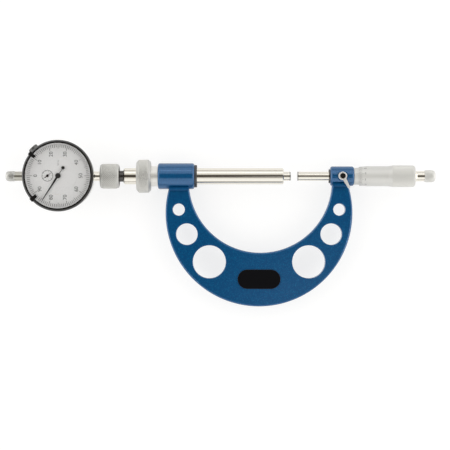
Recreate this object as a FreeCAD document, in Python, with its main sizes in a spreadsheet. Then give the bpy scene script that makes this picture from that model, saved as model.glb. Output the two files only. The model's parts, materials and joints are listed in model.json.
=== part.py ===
"""An indicating micrometer: a bow frame with a 25 mm micrometer head on the right and, on the left, a sliding
tube whose sprung anvil moves the plunger of a dial indicator. FreeCAD 1.1 macro, millimetres.

X runs along the measuring line from the indicator to the micrometer head, Y points away from the bow, and Z
is the side that the dial faces. The origin is the middle of the anvil's measuring face."""

import FreeCAD, Part
import Sketcher
import math
import os
import re

# Driving dimensions: name, value in millimetres or degrees, and what it is.
SIZES = {
    # Fits
    "running": (0.05, "radial clearance of a running fit"),
    "free_gap": (0.3, "radial clearance of a piece that passes without guiding"),
    "seat_gap": (0.1, "gap between end faces that turn on each other"),
    "fine_chamfer": (0.3, "small chamfers"),
    "edge_chamfer": (0.5, "chamfers of the case and its screws"),
    "run_out": (1.0, "how far a saw cut starts outside its piece"),
    # Measuring line
    "spindle_d": (7.5, "diameter of the spindle and of the anvil"),
    "carbide_l": (1.0, "length of the hard tips"),
    "tip_chamfer": (0.2, "chamfer round each measuring face"),
    "anvil_reach": (5.8, "anvil in front of its tube"),
    "anvil_guide_l": (20.0, "guided length of the anvil behind the tube's mouth"),
    "rod_d": (5.0, "thin part of the anvil rod"),
    "rod_back_gap": (7.7, "room behind the anvil rod when it is pressed in"),
    "rod_head_l": (6.5, "rear guide of the anvil rod"),
    "rod_stop_l": (2.0, "stop ring on the anvil rod"),
    "anvil_stroke": (5.0, "how far the anvil can be pressed in"),
    # Sliding tube
    "tube_d": (13.5, "outside of the sliding tube"),
    "tube_bore_d": (10.5, "bore of the sliding tube"),
    "opening": (5.4, "opening between the measuring faces as drawn"),
    "tube_tail": (10.5, "tube behind the clamp nut"),
    "tube_chamfer": (0.8, "chamfer on the tube's ends"),
    "mouth_bush_l": (12.0, "bush in the tube's mouth"),
    "seat_bush_x": (54.0, "spring seat behind the anvil's face"),
    "seat_bush_l": (6.0, "length of the spring seat"),
    "spring_wire_d": (0.8, "wire of the anvil spring"),
    "spring_mean_r": (3.7, "mean radius of the anvil spring"),
    "spring_turns": (9.0, "turns of the anvil spring"),
    # Left side of the frame
    "left_boss_d": (21.4, "left boss"),
    "left_boss_l": (30.0, "length of the left boss"),
    "flange_d": (18.4, "flange of the guide bush"),
    "flange_t": (2.05, "thickness of that flange"),
    "bush_d": (16.7, "guide bush in the boss"),
    "collar_l": (5.6, "bush in front of the clamp nut"),
    "nose_d": (15.6, "slit nose of the guide bush"),
    "nose_l": (9.8, "length of the slit nose"),
    "nose_taper": (0.6, "taper at the nose's end"),
    "nose_slot_w": (1.2, "slots of the nose"),
    "clamp_nut_d": (26.4, "clamp nut"),
    "clamp_nut_l": (11.8, "length of the clamp nut"),
    "clamp_nut_chamfer": (1.6, "chamfers of the clamp nut"),
    "clamp_nut_floor": (1.6, "end wall of the clamp nut"),
    # Bow
    "throat_w": (111.1, "opening between the two bosses"),
    "bow_side": (20.85, "outer edge of the bow outside the bosses' inner ends"),
    "bow_shift": (2.75, "centre of the outer edge left of the opening's middle"),
    "bow_drop": (30.2, "centre of the outer edge below the measuring line"),
    "throat_side": (3.05, "inner edge of the bow outside the bosses' inner ends"),
    "throat_shift": (1.55, "centre of the inner edge left of the opening's middle"),
    "throat_drop": (4.1, "centre of the inner edge below the measuring line"),
    "frame_t": (9.5, "thickness of the bow"),
    "bow_round": (1.4, "rounding along the bow's edges"),
    "boss_round": (1.8, "rounding of the bosses' ends"),
    "hole_round": (0.5, "rounding of the lightening holes"),
    "small_hole_d": (9.8, "small lightening holes"),
    "small_hole_in": (10.8, "small holes inside the bow's widest point"),
    "small_hole_drop": (27.4, "small holes below the measuring line"),
    "mid_hole_d": (17.5, "middle lightening holes"),
    "mid_hole_in": (17.4, "middle holes inside the bow's widest point"),
    "mid_hole_drop": (47.5, "middle holes below the measuring line"),
    "large_hole_d": (26.9, "large lightening holes"),
    "large_hole_in": (35.8, "large holes inside the bow's widest point"),
    "large_hole_up": (36.5, "large holes above the bow's lowest point"),
    "plate_w": (34.9, "width of the name plate"),
    "plate_tall": (15.7, "height of the name plate"),
    "plate_t": (0.5, "thickness of the name plate"),
    "plate_up": (22.3, "middle of the name plate above the bow's lowest point"),
    # Micrometer head
    "right_boss_d": (16.2, "right boss"),
    "right_boss_l": (19.5, "length of the right boss"),
    "barrel_d": (11.5, "barrel that carries the spindle"),
    "barrel_step": (1.1, "barrel in front of the boss"),
    "barrel_short": (3.2, "barrel ends before the sleeve"),
    "barrel_thread_d": (10.4, "threaded end of the barrel"),
    "spindle_shown": (25.8, "spindle in front of the barrel"),
    "travel": (25.0, "travel of the spindle"),
    "sleeve_d": (14.0, "graduated sleeve"),
    "sleeve_shown": (4.3, "sleeve in front of the thimble at zero"),
    "sleeve_cover": (1.9, "sleeve still under the thimble at full travel"),
    "adjusting_nut_d": (12.7, "adjusting nut on the barrel"),
    "adjusting_nut_l": (5.0, "length of the adjusting nut"),
    "thimble_fit": (0.08, "radial clearance of thimble and sleeve"),
    "thimble_edge_d": (15.4, "thimble at its bevelled edge"),
    "thimble_bevel_l": (6.5, "length of the bevel"),
    "thimble_d": (16.5, "graduated part of the thimble"),
    "thimble_front_l": (23.8, "thimble in front of its grip"),
    "thimble_step_l": (2.4, "taper up to the grip"),
    "thimble_grip_d": (17.3, "knurled grip of the thimble"),
    "thimble_grip_l": (19.5, "length of the grip"),
    "thimble_chamfer": (1.0, "chamfer at the grip's end"),
    "web_gap": (2.2, "room between the sleeve's end and the thimble's web at zero"),
    "spindle_tail_d": (6.0, "seat of the thimble on the spindle"),
    "spindle_tail_l": (11.8, "length of that seat"),
    "ratchet_shank_d": (5.0, "shank of the ratchet body"),
    "ratchet_neck_d": (8.4, "neck of the ratchet"),
    "ratchet_neck_l": (7.8, "length of that neck"),
    "ratchet_flare_d": (10.2, "flare of the neck at the thimble"),
    "ratchet_flare_l": (1.6, "length of the flare"),
    "ratchet_knob_d": (9.6, "ratchet knob"),
    "ratchet_knob_l": (8.8, "length of the ratchet knob"),
    "ratchet_core_l": (5.6, "pivot inside the knob"),
    "ratchet_round": (2.4, "rounded end of the knob"),
    # Spindle lock
    "lever_hub_d": (6.8, "hub of the lock lever"),
    "lever_hub_t": (3.0, "thickness of that hub"),
    "lever_reach": (11.6, "lever from its pivot to the tip"),
    "lever_sunk": (1.1, "root of the lever inside the hub's edge"),
    "lever_root_w": (2.9, "width of the lever at the hub"),
    "lever_tip_w": (2.0, "width of the lever at its tip"),
    "lever_t": (1.8, "thickness of the lever"),
    "lever_turn": (-61.5, "direction of the lever as drawn"),
    "spot_face_d": (8.6, "flat seat of the lever in the boss"),
    "spot_face_z": (7.3, "height of that seat above the measuring line"),
    "lock_head_d": (4.4, "head of the lock screw"),
    "lock_head_t": (0.9, "height of that head"),
    "lock_shank_d": (3.0, "shank of the lock screw"),
    "lock_slot_w": (0.7, "slot of the lock screw"),
    "lock_slot_deep": (0.5, "depth of that slot"),
    # Indicator holder
    "neck_shown": (3.7, "black neck between tube and chuck nut"),
    "neck_d": (9.1, "black neck"),
    "spigot_l": (8.0, "neck's threaded end inside the tube"),
    "spigot_bore_d": (6.0, "passage for the contact point"),
    "collet_d": (13.0, "slit collet under the chuck nut"),
    "collet_l": (11.2, "length of the collet"),
    "collet_chamfer": (1.0, "chamfer at the collet's end"),
    "collet_taper_l": (1.5, "taper from collet to neck"),
    "collet_slot_w": (0.8, "slots of the collet"),
    "chuck_nut_d": (19.7, "chuck nut"),
    "chuck_nut_l": (15.6, "length of the chuck nut"),
    "chuck_nut_round": (1.5, "rounded ends of the chuck nut"),
    "chuck_nut_floor": (1.6, "end wall of the chuck nut"),
    "chuck_recess_d": (16.2, "recess in the chuck nut's end"),
    "chuck_recess_deep": (1.5, "depth of that recess"),
    # Dial indicator
    "stem_d": (8.0, "stem of the indicator"),
    "stem_in_collet": (10.0, "stem held in the chuck"),
    "stem_shown": (4.35, "stem between bezel and chuck nut"),
    "bezel_d": (58.1, "bezel"),
    "bezel_t": (7.2, "height of the bezel"),
    "bezel_wall": (2.05, "wall of the bezel"),
    "bezel_chamfer": (0.6, "chamfer at the bezel's back"),
    "bezel_crown_t": (1.6, "height of the bezel's rounded front"),
    "bezel_crown_w": (1.3, "width of the bezel's rounded front"),
    "window_lip": (0.5, "how far the bezel's lip covers the crystal"),
    "lip_t": (0.8, "lip over the crystal"),
    "crystal_t": (1.2, "crystal"),
    "rim_l": (2.5, "white rim between dial and crystal"),
    "dial_t": (0.5, "dial"),
    "dial_centre_d": (30.4, "fixed middle of the dial"),
    "dial_hole_r": (1.1, "holes and feet of the dial's middle"),
    "dial_foot_out": (10.1, "feet from the dial's centre"),
    "front_z": (15.4, "front of the bezel above the stem's axis"),
    "back_z": (9.0, "back of the case below the stem's axis"),
    "back_t": (1.5, "back cover"),
    "case_step": (1.05, "case inside the bezel's outer edge"),
    "case_wall": (3.5, "wall of the case"),
    "spigot_rise": (2.0, "rim of the case inside the bezel"),
    "back_screw_turn": (45.0, "direction of the first back screw"),
    "back_screw_d": (1.6, "shank of a back screw"),
    "back_screw_head_d": (2.6, "head of a back screw"),
    "back_screw_head_t": (0.7, "height of that head"),
    "back_screw_l": (4.0, "back screw in the case"),
    "back_screw_count": (4, "number of back screws"),
    "movement_t": (1.2, "movement plates"),
    "rear_plate_z": (6.4, "movement's rear plate below the stem's axis"),
    "counter_out": (8.7, "counter's arbor left of the dial's centre"),
    "rack_pinion_d": (3.0, "pinion in the plunger's rack"),
    "gear_wheel_d": (15.7, "large gear wheel"),
    "centre_pinion_d": (1.5, "pinion of the pointer"),
    "gear_t": (0.45, "thickness of the gear wheel"),
    "arbor_d": (1.1, "arbors of the movement"),
    "plunger_d": (5.0, "plunger"),
    "plunger_out": (8.0, "plunger in front of the stem"),
    "plunger_slot_w": (3.4, "slot of the plunger's rack"),
    "plunger_collar_d": (6.8, "spring collar on the plunger"),
    "plunger_collar_l": (1.2, "length of that collar"),
    "plunger_collar_out": (15.3, "spring collar left of the dial's centre"),
    "plunger_wire_d": (0.4, "wire of the plunger spring"),
    "plunger_spring_turns": (6.0, "turns of the plunger spring"),
    "contact_d": (4.5, "contact point"),
    "contact_round": (1.2, "rounding of the contact point's end"),
    "cap_bush_d": (7.7, "upper bush of the plunger"),
    "cap_bush_l": (8.6, "upper bush outside the case"),
    "cap_d": (8.1, "dust cap"),
    "cap_l": (7.4, "length of the dust cap"),
    "cap_wall": (0.9, "wall of the dust cap"),
    "cap_round": (2.2, "rounded end of the dust cap"),
    "cap_grip": (2.0, "bush inside the dust cap"),
    "pointer_z": (12.0, "pointer above the stem's axis"),
    "pointer_t": (0.25, "thickness of the pointers"),
    "pointer_short": (3.5, "pointer's tip inside the window"),
    "pointer_root_w": (1.7, "pointer at the hub"),
    "pointer_tip_w": (0.5, "pointer at its tip"),
    "pointer_tail_l": (7.6, "tail of the pointer"),
    "pointer_tail_d": (2.8, "disc on the pointer's tail"),
    "pointer_hub_d": (4.4, "hub of the pointer"),
    "hub_rise": (0.75, "height of a pointer's hub"),
    "hub_dome": (0.3, "bevel of a pointer's hub"),
    "pointer_turn": (237.3, "direction of the pointer as drawn"),
    "counter_z": (11.25, "counter pointer above the stem's axis"),
    "counter_l": (3.1, "counter pointer"),
    "counter_tail_l": (2.9, "tail of the counter pointer"),
    "counter_w": (0.6, "width of the counter pointer"),
    "counter_hub_d": (2.0, "hub of the counter pointer"),
    "counter_turn": (38.0, "direction of the counter pointer as drawn"),
    "marker_over": (2.9, "limit marker over the window"),
    "marker_wall": (0.6, "sheet of a limit marker"),
    "marker_deep": (2.4, "limit marker down the bezel's side"),
    "marker_angle": (6.5, "width of a limit marker as an angle"),
    "upper_marker_turn": (141.0, "place of the upper limit marker"),
    "lower_marker_turn": (223.0, "place of the lower limit marker"),
    "clamp_screw_turn": (133.0, "place of the bezel clamp screw"),
    "clamp_screw_z": (3.4, "clamp screw above the stem's axis"),
    "clamp_screw_d": (8.4, "knob of the clamp screw"),
    "clamp_screw_l": (4.0, "length of that knob"),
    "clamp_screw_sunk": (1.0, "clamp screw inside the bezel's outer edge"),
    "clamp_shank_d": (3.0, "shank of the clamp screw"),
    "clamp_shank_l": (2.5, "shank of the clamp screw in the case"),
}

# Places and radii worked out from the driving dimensions.
PLACES = {
    "rod_l": "anvil_reach + tube_l - spigot_l - anvil_stroke - rod_back_gap",
    "sleeve_l": "sleeve_shown + travel + sleeve_cover",
    "barrel_l": "barrel_step + right_boss_l + sleeve_l - barrel_short",
    "thimble_web_x": "sleeve_l - sleeve_shown + web_gap",
    "spindle_r": "spindle_d / 2",
    "tube_r": "tube_d / 2",
    "tube_bore_r": "tube_bore_d / 2",
    "tube_mouth_x": "-anvil_reach",
    "tube_end_x": "clamp_nut_x - tube_tail",
    "tube_l": "tube_mouth_x - tube_end_x",
    "left_boss_x": "right_boss_x - throat_w",
    "bow_r": "throat_w / 2 + bow_side",
    "bow_x": "throat_w / 2 - bow_shift",
    "throat_r": "throat_w / 2 + throat_side",
    "throat_x": "throat_w / 2 - throat_shift",
    "bow_low": "bow_drop + bow_r",
    "large_hole_drop": "bow_low - large_hole_up",
    "bush_r": "bush_d / 2",
    "collar_x": "left_boss_x - left_boss_l",
    "nose_x": "collar_x - collar_l",
    "clamp_nut_x": "nose_x - clamp_nut_l",
    "spindle_x": "opening",
    "barrel_x": "spindle_x + spindle_shown",
    "right_boss_x": "barrel_x + barrel_step",
    "barrel_r": "barrel_d / 2",
    "sleeve_x": "right_boss_x + right_boss_l",
    "thimble_x": "sleeve_x + sleeve_shown",
    "thimble_bore_r": "sleeve_d / 2 + thimble_fit",
    "thimble_l": "thimble_front_l + thimble_step_l + thimble_grip_l",
    "ratchet_x": "thimble_x + thimble_l",
    "lock_x": "right_boss_x + right_boss_l / 2",
    "collet_x": "tube_end_x - neck_shown - chuck_nut_l + chuck_nut_floor + free_gap",
    "neck_l": "tube_end_x - collet_x - collet_l - collet_taper_l",
    "chuck_nut_x": "tube_end_x - neck_shown - chuck_nut_l",
    "stem_end_x": "collet_x + stem_in_collet - free_gap",
    "dial_x": "chuck_nut_x - stem_shown - bezel_d / 2",
    "bezel_bore_r": "bezel_d / 2 - bezel_wall",
    "window_r": "bezel_bore_r - window_lip",
    "case_r": "bezel_d / 2 - case_step",
    "case_bore_r": "case_r - case_wall",
    "back_screw_ring_r": "case_r - case_wall / 2",
    "gear_z": "plunger_collar_d / 2 + free_gap",
    "plate_gap_z": "gear_z + gear_t + free_gap * 2",
    "pointer_l": "window_r - pointer_short",
    "marker_inner_r": "window_r - marker_over",
    "back_cover_z": "-back_z",
    "case_floor_z": "back_t - back_z",
    "bezel_z": "front_z - bezel_t",
    "case_shoulder_z": "bezel_z - seat_gap * 2",
    "spigot_z": "case_shoulder_z + spigot_rise",
    "crystal_z": "front_z - lip_t - crystal_t",
    "rim_z": "crystal_z - rim_l",
    "dial_z": "rim_z - dial_t",
    "plunger_r": "plunger_d / 2",
    "plunger_bore_r": "plunger_r + running",
    "cap_bush_x": "dial_x - case_r - cap_bush_l",
    "cap_x": "cap_bush_x - cap_l",
    "plunger_x": "cap_bush_x - free_gap * 2",
    "plunger_end_x": "stem_end_x + plunger_out",
    "contact_end_x": "-rod_l - seat_gap",
}

doc = FreeCAD.newDocument("IndicatingMicrometer")
sheet = doc.addObject("Spreadsheet::Sheet", "Sizes")
for row, (alias, (size, note)) in enumerate(SIZES.items(), start=1):
    sheet.set(f"A{row}", note)
    sheet.set(f"B{row}", str(size))
    sheet.setAlias(f"B{row}", alias)
doc.recompute()

screw_place = ("back_screw_ring_r * cos(back_screw_turn)", "back_screw_ring_r * sin(back_screw_turn)")
WORD = re.compile(r"[a-z]+(?:_[a-z]+)*")
nodes = {}


def expression(text):
    """Spells a size or a place out in cells of the sheet."""

    def spell(word):
        name = word.group()
        if name in PLACES:
            return "(" + expression(PLACES[name]) + ")"
        if name in SIZES:
            return "Sizes." + name
        return name

    return WORD.sub(spell, text)


def number(text):
    """What an expression comes to now."""
    return float(sheet.evalExpression(expression(text)))


def bind(thing, prop, text):
    """Ties a property to the sheet."""
    thing.setExpression(prop, expression(text))


def put(thing, x="0", y="0", z="0", turn=None, turn_axis=(0, 0, 1)):
    """Places an object, turned about an axis of its own if told to."""
    if turn is not None:
        thing.Placement = FreeCAD.Placement(
            FreeCAD.Vector(), FreeCAD.Rotation(FreeCAD.Vector(*turn_axis), number(turn))
        )
        bind(thing, "Placement.Rotation.Angle", turn)
    for axis, text in zip("xyz", (x, y, z)):
        if text != "0":
            bind(thing, f"Placement.Base.{axis}", text)


def body(label, **place):
    """An empty body at its place, which is the node of that name."""
    made = doc.addObject("PartDesign::Body", label)
    made.Label = label
    put(made, **place)
    nodes[label] = made
    return made


def sketch_on(owner, role, name):
    """A sketch on one of the body's own origin planes."""
    plane = next(f for f in owner.Origin.OriginFeatures if f.Role == role)
    made = owner.newObject("Sketcher::SketchObject", name)
    made.AttachmentSupport = [(plane, "")]
    made.MapMode = "FlatFace"
    return made


def arc_between(start, end, radius, outward):
    """A short arc that bulges to the left of the way from start to end, or to the right if not outward."""
    chord = end - start
    half = chord.Length / 2
    left = FreeCAD.Vector(-chord.y, chord.x, 0).normalize()
    side = -1 if outward else 1
    centre = (start + end) / 2 + left * (side * math.sqrt(max(radius**2 - half**2, 0)))
    first, last = (end, start) if outward else (start, end)
    angles = [math.atan2(p.y - centre.y, p.x - centre.x) for p in (first, last)]
    circle = Part.Circle(centre, FreeCAD.Vector(0, 0, 1), radius)
    return Part.ArcOfCircle(circle, angles[0], angles[1])


def draw(sketch, corners):
    """A closed outline through corners (x, y), given clockwise. A corner (x, y, radius) starts an arc that
    bulges outward, and (x, y, radius, "in") one that bulges inward."""
    points = [FreeCAD.Vector(number(c[0]), number(c[1]), 0) for c in corners]
    base = sketch.GeometryCount
    starts = []
    for i, corner in enumerate(corners):
        end = points[(i + 1) % len(points)]
        outward = len(corner) < 4
        if len(corner) == 2:
            sketch.addGeometry(Part.LineSegment(points[i], end), False)
        else:
            sketch.addGeometry(arc_between(points[i], end, number(corner[2]), outward), False)
        starts.append(2 if len(corner) > 2 and outward else 1)
    for i, corner in enumerate(corners):
        after = (i + 1) % len(corners)
        sketch.addConstraint(
            Sketcher.Constraint("Coincident", base + i, 3 - starts[i], base + after, starts[after])
        )
        tie(sketch, "DistanceX", base + i, starts[i], corner[0], points[i].x)
        tie(sketch, "DistanceY", base + i, starts[i], corner[1], points[i].y)
        if len(corner) > 2:
            at = sketch.addConstraint(Sketcher.Constraint("Radius", base + i, number(corner[2])))
            bind(sketch, f"Constraints[{at}]", corner[2])


def tie(sketch, kind, geometry, point, text, value):
    """Dimensions one point of the sketch from its origin along one axis."""
    if text == "0":
        axis = -2 if kind == "DistanceX" else -1
        sketch.addConstraint(Sketcher.Constraint("PointOnObject", geometry, point, axis))
        return
    at = sketch.addConstraint(Sketcher.Constraint(kind, -1, 1, geometry, point, value))
    bind(sketch, f"Constraints[{at}]", text)


def circle(sketch, x, y, radius):
    """A dimensioned circle."""
    centre = FreeCAD.Vector(number(x), number(y), 0)
    at = sketch.addGeometry(Part.Circle(centre, FreeCAD.Vector(0, 0, 1), number(radius)), False)
    tie(sketch, "DistanceX", at, 3, x, centre.x)
    tie(sketch, "DistanceY", at, 3, y, centre.y)
    size = sketch.addConstraint(Sketcher.Constraint("Radius", at, number(radius)))
    bind(sketch, f"Constraints[{size}]", radius)


def turn(owner, axis, corners, kind="Revolution", angle=None):
    """Turns an outline about the body's X or Z axis: corners are (along, radius)."""
    sketch = sketch_on(owner, "XZ_Plane", owner.Label + "_profile")
    if axis == "Z":
        corners = [(c[1], c[0], *c[2:]) for c in reversed_arcs(corners)]
    draw(sketch, corners)
    made = owner.newObject("PartDesign::" + kind, owner.Label + "_turned")
    made.Profile = sketch
    made.ReferenceAxis = (sketch, ["H_Axis" if axis == "X" else "V_Axis"])
    made.Angle = 360
    if angle is not None:
        made.Midplane = True
        bind(made, "Angle", angle)
    sketch.Visibility = False
    return made


def reversed_arcs(corners):
    """The same outline the other way round, for an axis that mirrors it."""
    back = []
    for i in range(len(corners), 0, -1):
        x, y = corners[i % len(corners)][:2]
        back.append((x, y, *corners[i - 1][2:]))
    return back


def extrude(owner, sketch, length, kind="Pad", start=None, symmetric=False, reverse=False):
    """Pads or pockets a sketch on the XY plane, from a height if told to."""
    if start is not None:
        bind(sketch, "AttachmentOffset.Base.z", start)
    made = owner.newObject("PartDesign::" + kind, owner.Label + "_" + kind.lower())
    made.Profile = sketch
    made.SideType = "Symmetric" if symmetric else "One side"
    made.Reversed = reverse
    bind(made, "Length", length)
    sketch.Visibility = False
    return made


def turned(label, axis, corners, **place):
    """A body that is one turned piece."""
    made = body(label, **place)
    turn(made, axis, corners)
    return made


def ring(label, axis, inner, outer, length, **place):
    """A plain turned bush, from its own zero along the axis."""
    return turned(
        label, axis, [("0", inner), ("0", outer), (length, outer), (length, inner)], **place
    )


def slots(owner, count, width, deep, reach):
    """Saw cuts through the wall at one end of a turned piece, patterned about X."""
    sketch = sketch_on(owner, "XZ_Plane", owner.Label + "_slot")
    draw(
        sketch,
        [
            ("-run_out", "0"),
            ("-run_out", reach),
            (deep, reach),
            (deep, "0"),
        ],
    )
    cut = extrude(owner, sketch, width, kind="Pocket", symmetric=True)
    doc.recompute()
    pattern = owner.newObject("PartDesign::PolarPattern", owner.Label + "_slots")
    pattern.Originals = [cut]
    pattern.Axis = (sketch, ["H_Axis"])
    pattern.Angle = 360
    pattern.Occurrences = count
    owner.Tip = pattern


def coil(label, mean_radius, wire, length, turns, **place):
    """A compression spring about X."""
    made = body(label, **place)
    sketch = sketch_on(made, "XZ_Plane", label + "_wire")
    circle(sketch, f"{wire} / 2", mean_radius, f"{wire} / 2")
    helix = made.newObject("PartDesign::AdditiveHelix", label + "_helix")
    helix.Profile = sketch
    helix.ReferenceAxis = (sketch, ["H_Axis"])
    helix.Mode = "height-turns-angle"
    bind(helix, "Height", f"{length} - {wire}")
    bind(helix, "Turns", turns)
    sketch.Visibility = False
    return made


def edges_where(shape, test):
    """Names of the shape's edges that pass a test."""
    return [f"Edge{i + 1}" for i, edge in enumerate(shape.Edges) if test(edge)]


def fillet(owner, base, radius, test):
    """Rounds the edges of a feature that pass a test."""
    doc.recompute()
    made = owner.newObject("PartDesign::Fillet", owner.Label + "_fillet")
    made.Base = (base, edges_where(base.Shape, test))
    bind(made, "Radius", radius)
    return made


def build_frame():
    """The bow: a flat C between two bosses, drilled along the measuring line and lightened by six holes."""
    made = body("frame", x="left_boss_x")
    sketch = sketch_on(made, "XY_Plane", "frame_bow")
    arcs = [
        ("bow_x", "-bow_drop", "bow_r"),
        ("throat_x", "-throat_drop", "throat_r"),
    ]
    ends = []
    for x, y, radius in arcs:
        centre = FreeCAD.Vector(number(x), number(y), 0)
        dip = math.asin(-centre.y / number(radius))
        circle_ = Part.Circle(centre, FreeCAD.Vector(0, 0, 1), number(radius))
        at = sketch.addGeometry(Part.ArcOfCircle(circle_, math.pi - dip, 2 * math.pi + dip), False)
        tie(sketch, "DistanceX", at, 3, x, centre.x)
        tie(sketch, "DistanceY", at, 3, y, centre.y)
        size = sketch.addConstraint(Sketcher.Constraint("Radius", at, number(radius)))
        bind(sketch, f"Constraints[{size}]", radius)
        for point in (1, 2):
            sketch.addConstraint(Sketcher.Constraint("PointOnObject", at, point, -1))
        run = math.cos(dip) * number(radius)
        ends.append((centre.x - run, centre.x + run))
    for point, side in ((1, 0), (2, 1)):
        outer = FreeCAD.Vector(ends[0][side], 0, 0)
        inner = FreeCAD.Vector(ends[1][side], 0, 0)
        at = sketch.addGeometry(Part.LineSegment(outer, inner), False)
        sketch.addConstraint(Sketcher.Constraint("Coincident", at, 1, 0, point))
        sketch.addConstraint(Sketcher.Constraint("Coincident", at, 2, 1, point))
    pad = extrude(made, sketch, "frame_t", symmetric=True)
    half = number("frame_t") / 2
    rounded = fillet(
        made,
        pad,
        "bow_round",
        lambda e: e.Curve.TypeId == "Part::GeomCircle" and abs(abs(e.CenterOfMass.z) - half) < 1e-6,
    )
    made.Tip = rounded
    for start, length, size in (
        ("-left_boss_l", "left_boss_l", "left_boss_d"),
        ("throat_w", "right_boss_l", "right_boss_d"),
    ):
        radius = f"{size} / 2"
        end = f"{start} + {length}"
        turn(
            made,
            "X",
            [
                (start, "0"),
                (start, f"{radius} - boss_round", "boss_round"),
                (f"{start} + boss_round", radius),
                (f"{end} - boss_round", radius, "boss_round"),
                (end, f"{radius} - boss_round"),
                (end, "0"),
            ],
        )
    sketch = sketch_on(made, "XY_Plane", "frame_holes")
    for side in ("-", "+"):
        for size in ("small", "mid", "large"):
            out = f"bow_x {side} (bow_r - {size}_hole_in)"
            circle(sketch, out, f"0 - {size}_hole_drop", f"{size}_hole_d / 2")
    holes = extrude(made, sketch, "frame_t * 2", kind="Pocket", symmetric=True)
    radii = [number(f"{size}_hole_d") / 2 for size in ("small", "mid", "large")]
    fillet(
        made,
        holes,
        "hole_round",
        lambda e: e.Curve.TypeId == "Part::GeomCircle"
        and abs(e.Curve.Axis.z) > 0.9
        and any(abs(e.Curve.Radius - r) < 1e-6 for r in radii),
    )
    for start, length, radius in (
        ("-left_boss_l", "left_boss_l", "bush_r"),
        ("throat_w", "right_boss_l", "barrel_r"),
    ):
        end = f"{start} + {length}"
        turn(made, "X", [(start, "0"), (start, radius), (end, radius), (end, "0")], kind="Groove")
    sketch = sketch_on(made, "XY_Plane", "frame_lock_seat")
    circle(sketch, "lock_x - left_boss_x", "0", "spot_face_d / 2")
    extrude(made, sketch, "right_boss_d", kind="Pocket", start="spot_face_z", reverse=True)
    sketch = sketch_on(made, "XY_Plane", "frame_lock_bore")
    circle(sketch, "lock_x - left_boss_x", "0", "lock_shank_d / 2 + running")
    extrude(made, sketch, "right_boss_d", kind="Pocket", reverse=True)


def build_name_plate():
    """The stadium-shaped plate on the front of the bow, left bare."""
    made = body("name_plate", x="left_boss_x + bow_x", y="plate_up - bow_low", z="frame_t / 2")
    sketch = sketch_on(made, "XY_Plane", "name_plate_outline")
    radius = "plate_tall / 2"
    flat = "(plate_w - plate_tall) / 2"
    draw(
        sketch,
        [
            (f"-{flat}", "0 - " + radius, radius),
            (f"-{flat} - {radius}", "0", radius),
            (f"-{flat}", radius),
            (flat, radius, radius),
            (f"{flat} + {radius}", "0", radius),
            (flat, "0 - " + radius),
        ],
    )
    extrude(made, sketch, "plate_t")


def build_guide_bush():
    """The bush through the left boss: a flange, a collar and a slit nose that the clamp nut closes."""
    inner = "tube_r + running"
    bush_end = "nose_l + collar_l + left_boss_l"
    made = turned(
        "guide_bush",
        "X",
        [
            ("0", inner),
            ("0", "nose_d / 2 - nose_taper"),
            ("nose_taper", "nose_d / 2"),
            ("nose_l", "nose_d / 2"),
            ("nose_l", "bush_r"),
            (bush_end, "bush_r"),
            (bush_end, "flange_d / 2"),
            (f"{bush_end} + flange_t - fine_chamfer", "flange_d / 2"),
            (f"{bush_end} + flange_t", "flange_d / 2 - fine_chamfer"),
            (f"{bush_end} + flange_t", inner),
        ],
        x="nose_x - nose_l",
    )
    slots(made, 3, "nose_slot_w", "nose_l", "nose_d")
    cut = "clamp_nut_chamfer"
    turned(
        "clamp_nut",
        "X",
        [
            ("0", "tube_r + free_gap"),
            ("0", f"clamp_nut_d / 2 - {cut}"),
            (cut, "clamp_nut_d / 2"),
            (f"clamp_nut_l - {cut}", "clamp_nut_d / 2"),
            ("clamp_nut_l - seat_gap", f"clamp_nut_d / 2 - {cut}"),
            ("clamp_nut_l - seat_gap", "nose_d / 2 + running"),
            ("clamp_nut_floor", "nose_d / 2 + running"),
            ("clamp_nut_floor", "tube_r + free_gap"),
        ],
        x="clamp_nut_x",
    )


def build_anvil():
    """The sliding tube with its two bushes, and the sprung anvil rod inside it."""
    turned(
        "anvil_tube",
        "X",
        [
            ("0", "tube_bore_r"),
            ("0", "tube_r - tube_chamfer"),
            ("tube_chamfer", "tube_r"),
            ("tube_l - tube_chamfer", "tube_r"),
            ("tube_l", "tube_r - tube_chamfer"),
            ("tube_l", "tube_bore_r"),
        ],
        x="tube_end_x",
    )
    ring(
        "mouth_bush",
        "X",
        "spindle_r + running",
        "tube_bore_r",
        "mouth_bush_l",
        x="tube_mouth_x - mouth_bush_l",
    )
    ring(
        "spring_seat",
        "X",
        "rod_d / 2 + running",
        "tube_bore_r",
        "seat_bush_l",
        x="-seat_bush_x - seat_bush_l",
    )
    shoulder = "rod_l - anvil_reach - anvil_guide_l"
    stop = "rod_l - seat_bush_x - seat_bush_l - free_gap"
    turned(
        "anvil_rod",
        "X",
        [
            ("0", "0"),
            ("0", "tube_bore_r - running"),
            ("rod_head_l", "tube_bore_r - running"),
            ("rod_head_l", "rod_d / 2"),
            (f"{stop} - rod_stop_l", "rod_d / 2"),
            (f"{stop} - rod_stop_l", "spindle_r"),
            (stop, "spindle_r"),
            (stop, "rod_d / 2"),
            (shoulder, "rod_d / 2"),
            (shoulder, "spindle_r"),
            ("rod_l - carbide_l", "spindle_r"),
            ("rod_l - carbide_l", "0"),
        ],
        x="-rod_l",
    )
    turned(
        "anvil_tip",
        "X",
        [
            ("0", "0"),
            ("0", "spindle_r"),
            ("carbide_l - tip_chamfer", "spindle_r"),
            ("carbide_l", "spindle_r - tip_chamfer"),
            ("carbide_l", "0"),
        ],
        x="-carbide_l",
    )
    coil(
        "anvil_spring",
        "spring_mean_r",
        "spring_wire_d",
        "seat_bush_x - anvil_reach - anvil_guide_l - free_gap",
        "spring_turns",
        x="-seat_bush_x",
    )


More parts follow.
